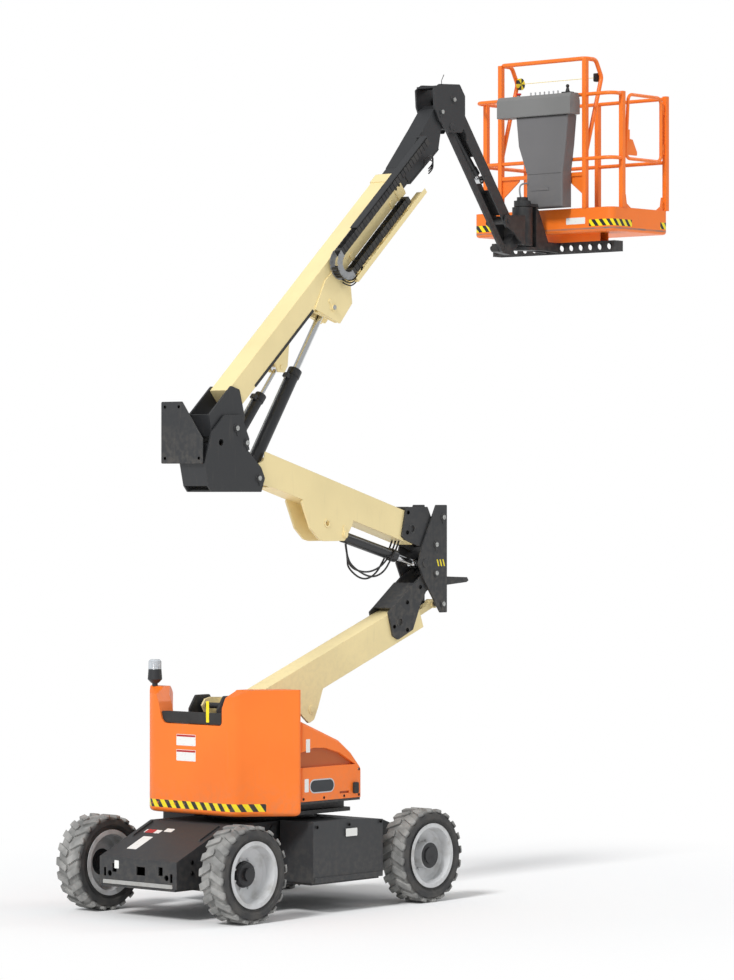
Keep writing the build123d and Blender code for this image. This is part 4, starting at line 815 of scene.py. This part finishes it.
# Main boom and hose track
# A cream box boom with a black fly section inside it. The hose track on its near side is a chain of
# black links with pale side plates at its bend, laid in a cream tray.
BOOM_TURN = math.radians(42.2)
BOOM_FOOT = Vector((-0.43, 0, 3.67))


def on_boom(along, y, rise):
    """A place on the boom: metres along it and above its foot pin's line."""
    return at(
        BOOM_FOOT.x + along * math.cos(BOOM_TURN) - rise * math.sin(BOOM_TURN), y,
        BOOM_FOOT.z + along * math.sin(BOOM_TURN) + rise * math.cos(BOOM_TURN),
    )


dress(cream_high, "main_boom", "track_tray")
boom_up = (-math.sin(BOOM_TURN), 0, math.cos(BOOM_TURN))
track_links = Finish("track_links")
track_face = track_links.y.below(-0.193) + track_links.y.above(-0.12)
track_dust = track_links.noise(18, 3).step(0.4, 0.75)
link_black = track_links.mix(track_dust, shown(34, 34, 35), shown(62, 60, 58))
side_plate_grey = track_links.mix(track_dust, shown(150, 152, 154), shown(118, 119, 120))
track_links.surface(
    track_links.mix(track_face.math("MINIMUM", 1), link_black, side_plate_grey),
    0.5 + track_dust * 0.2,
    track_links.bump(track_links.noise(200, 2), 0.0004, 0.6, track_links.soft_edge(0.002)),
)
dress(track_links, "track_lower", "track_upper", "track_bend")
strip = slab(rounded_outline(0.9, 0.022, 0.004), 0.004)
strip.transform(facing(on_boom(0.85, -0.095, 0.075), (0, -1, 0), boom_up))
as_piece("boom_wear_strip", strip, "main boom", rubber_pad)
rings = []
for side in (-1, 1):
    rings += screw_spots([on_boom(along, side * 0.101, 0.158) for along in (2.70, 2.75)], (0, side, 0), 0.009)
bolts("boom_mouth_screws", "main boom", zinc, rings)
pin_caps("main_lug_pin_caps", "main boom", 0.117, ((0.71, 4.63),))

# Fly section and boom head
# The black telescoping section with its fabricated head, whose pin carries the jib mount.
fly_black = painted("fly_black", shown(42, 43, 45), 0.36, grime=0.12, low=3.5, high=6.0, chips=0.4)
dress(fly_black, "fly_boom")
pipe(
    "boom_head_aerial", "jib mount", [at(2.08, -0.06, 6.46), at(2.08, -0.06, 6.52), at(2.11, -0.06, 6.57)],
    0.006, black_bolt,
)

# Jib
# Two black side plates with a cap strip, a link below them and the jib cylinder between.
jib_black = painted("jib_black", shown(44, 45, 47), 0.4, grime=0.15, low=4.5, high=6.5, chips=0.45)
dress(jib_black, "jib_mount", "jib_arm", "jib_link", "platform_support", "platform_mount")
pin_caps("jib_mount_pin_caps", "jib mount", 0.108, ((2.04, 6.26), (2.19, 6.37)), 0.017)

# Platform
# An orange basket of round tube on a toe board, with a gate on the near side. The corners of the
# toe board carry black and yellow stripes, and one blank label is fixed to its rear face.
platform_low, platform_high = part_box("platform_floor")


def corner_stripes(coat, base):
    ends = coat.x.below(platform_low[0] + 0.27) + coat.x.above(platform_high[0] - 0.12)
    corner = coat.y.math("ABSOLUTE").above(0.5) * ends
    stripe = ((coat.x - coat.y + coat.z * 0.8) / 0.078).math("FRACT").above(0.5)
    band = coat.z.above(5.39) * coat.z.below(5.446)
    return coat.mix(corner * band, base, coat.mix(stripe, WARNING_YELLOW, shade(BLACK, 0.7)))


def tread_plate(coat, base):
    deck = coat.z.above(5.365) * coat.z.below(5.38)
    scuffs = coat.noise(9, 5).step(0.45, 0.7)
    return coat.mix(deck * (0.5 + scuffs * 0.4), base, shown(120, 116, 110))


def platform_pattern(coat, base):
    return tread_plate(coat, corner_stripes(coat, base))


toe_board_orange = painted("toe_board_orange", ORANGE, pattern=platform_pattern, low=5.0, high=5.6, grime=0.2)
dress(toe_board_orange, "platform_floor")
dress(painted("rail_orange", ORANGE, 0.34, low=5.0, high=6.5, grime=0.12, chips=0.4), "platform_rails", "gate")
label("toe_board_label", "platform", at(3.46, -0.36, 5.44), (-1, 0, 0), 0.2, 0.055)

# Console and housing
# A grey moulded control box on the front rail, with a red stop button, a black joystick and bright
# toggles, over a darker grey housing with one seam.
STOP_PLACE = at(3.375, 0.18, 6.524)
STICK_PLACE = at(3.375, -0.342, 6.54)


def near_place(coat, place, radius):
    along = (coat.x - place.x).math("ABSOLUTE").below(radius)
    return along * (coat.y - place.y).math("ABSOLUTE").below(radius)


CONSOLE_LID_Z = 6.5005


def console_controls(coat, base):
    above = coat.z.above(CONSOLE_LID_Z)
    toggles = coat.mix(above, base, shown(176, 178, 180))
    stop = near_place(coat, STOP_PLACE, 0.03) * coat.z.above(6.512)
    stick = near_place(coat, STICK_PLACE, 0.045) * above
    return coat.mix(stop, coat.mix(stick, toggles, shown(28, 28, 29)), shown(206, 24, 22))


dress(painted("console_grey", shown(122, 122, 121), 0.5, grime=0.15, low=5.5, high=6.5, chips=0.2,
              pattern=console_controls), "console")
housing_grey = painted("housing_grey", shown(108, 107, 108), 0.45, grime=0.12, low=5.4, high=6.3, chips=0.2)
dress(housing_grey, "console_housing")

# Rope reel and taut line
# A small yellow and black reel stands on the hoop's far arm, with a black block on the near arm
# and one thin yellow line pulled tight between them.
REEL_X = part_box("platform_rails")[0][0] + 0.236
REEL_Z = 6.65
REEL_RADIUS = 0.05
reel_disc = Finish("reel_disc")
reel_turn = reel_disc.node(
    "ShaderNodeMath", {"operation": "ARCTAN2"}, {0: reel_disc.z - REEL_Z, 1: reel_disc.x - REEL_X}
)
reel_stripe = ((reel_turn / math.tau) * 4 + 4).math("FRACT").above(0.5)
reel_disc.surface(
    reel_disc.mix(reel_stripe, WARNING_YELLOW, shown(30, 30, 30)), 0.4,
    reel_disc.bump(reel_disc.noise(200, 2), 0.0003, 1.0, reel_disc.soft_edge(0.002)),
)
disc = slab(round_outline(REEL_RADIUS, 32), 0.02)
disc.transform(facing(Vector((REEL_X, 0.425, REEL_Z)), (0, -1, 0)))
as_piece("line_reel", disc, "platform", reel_disc)
block_mesh = slab(rounded_outline(0.06, 0.07, 0.01), 0.04)
block_mesh.transform(facing(Vector((REEL_X, -0.43, REEL_Z)), (0, 1, 0)))
as_piece("line_block", block_mesh, "platform", rubber_pad)
pipe(
    "taut_line", "platform", [Vector((REEL_X, -0.40, REEL_Z)), Vector((REEL_X, 0.41, REEL_Z))], 0.004,
    yellow_print,
)
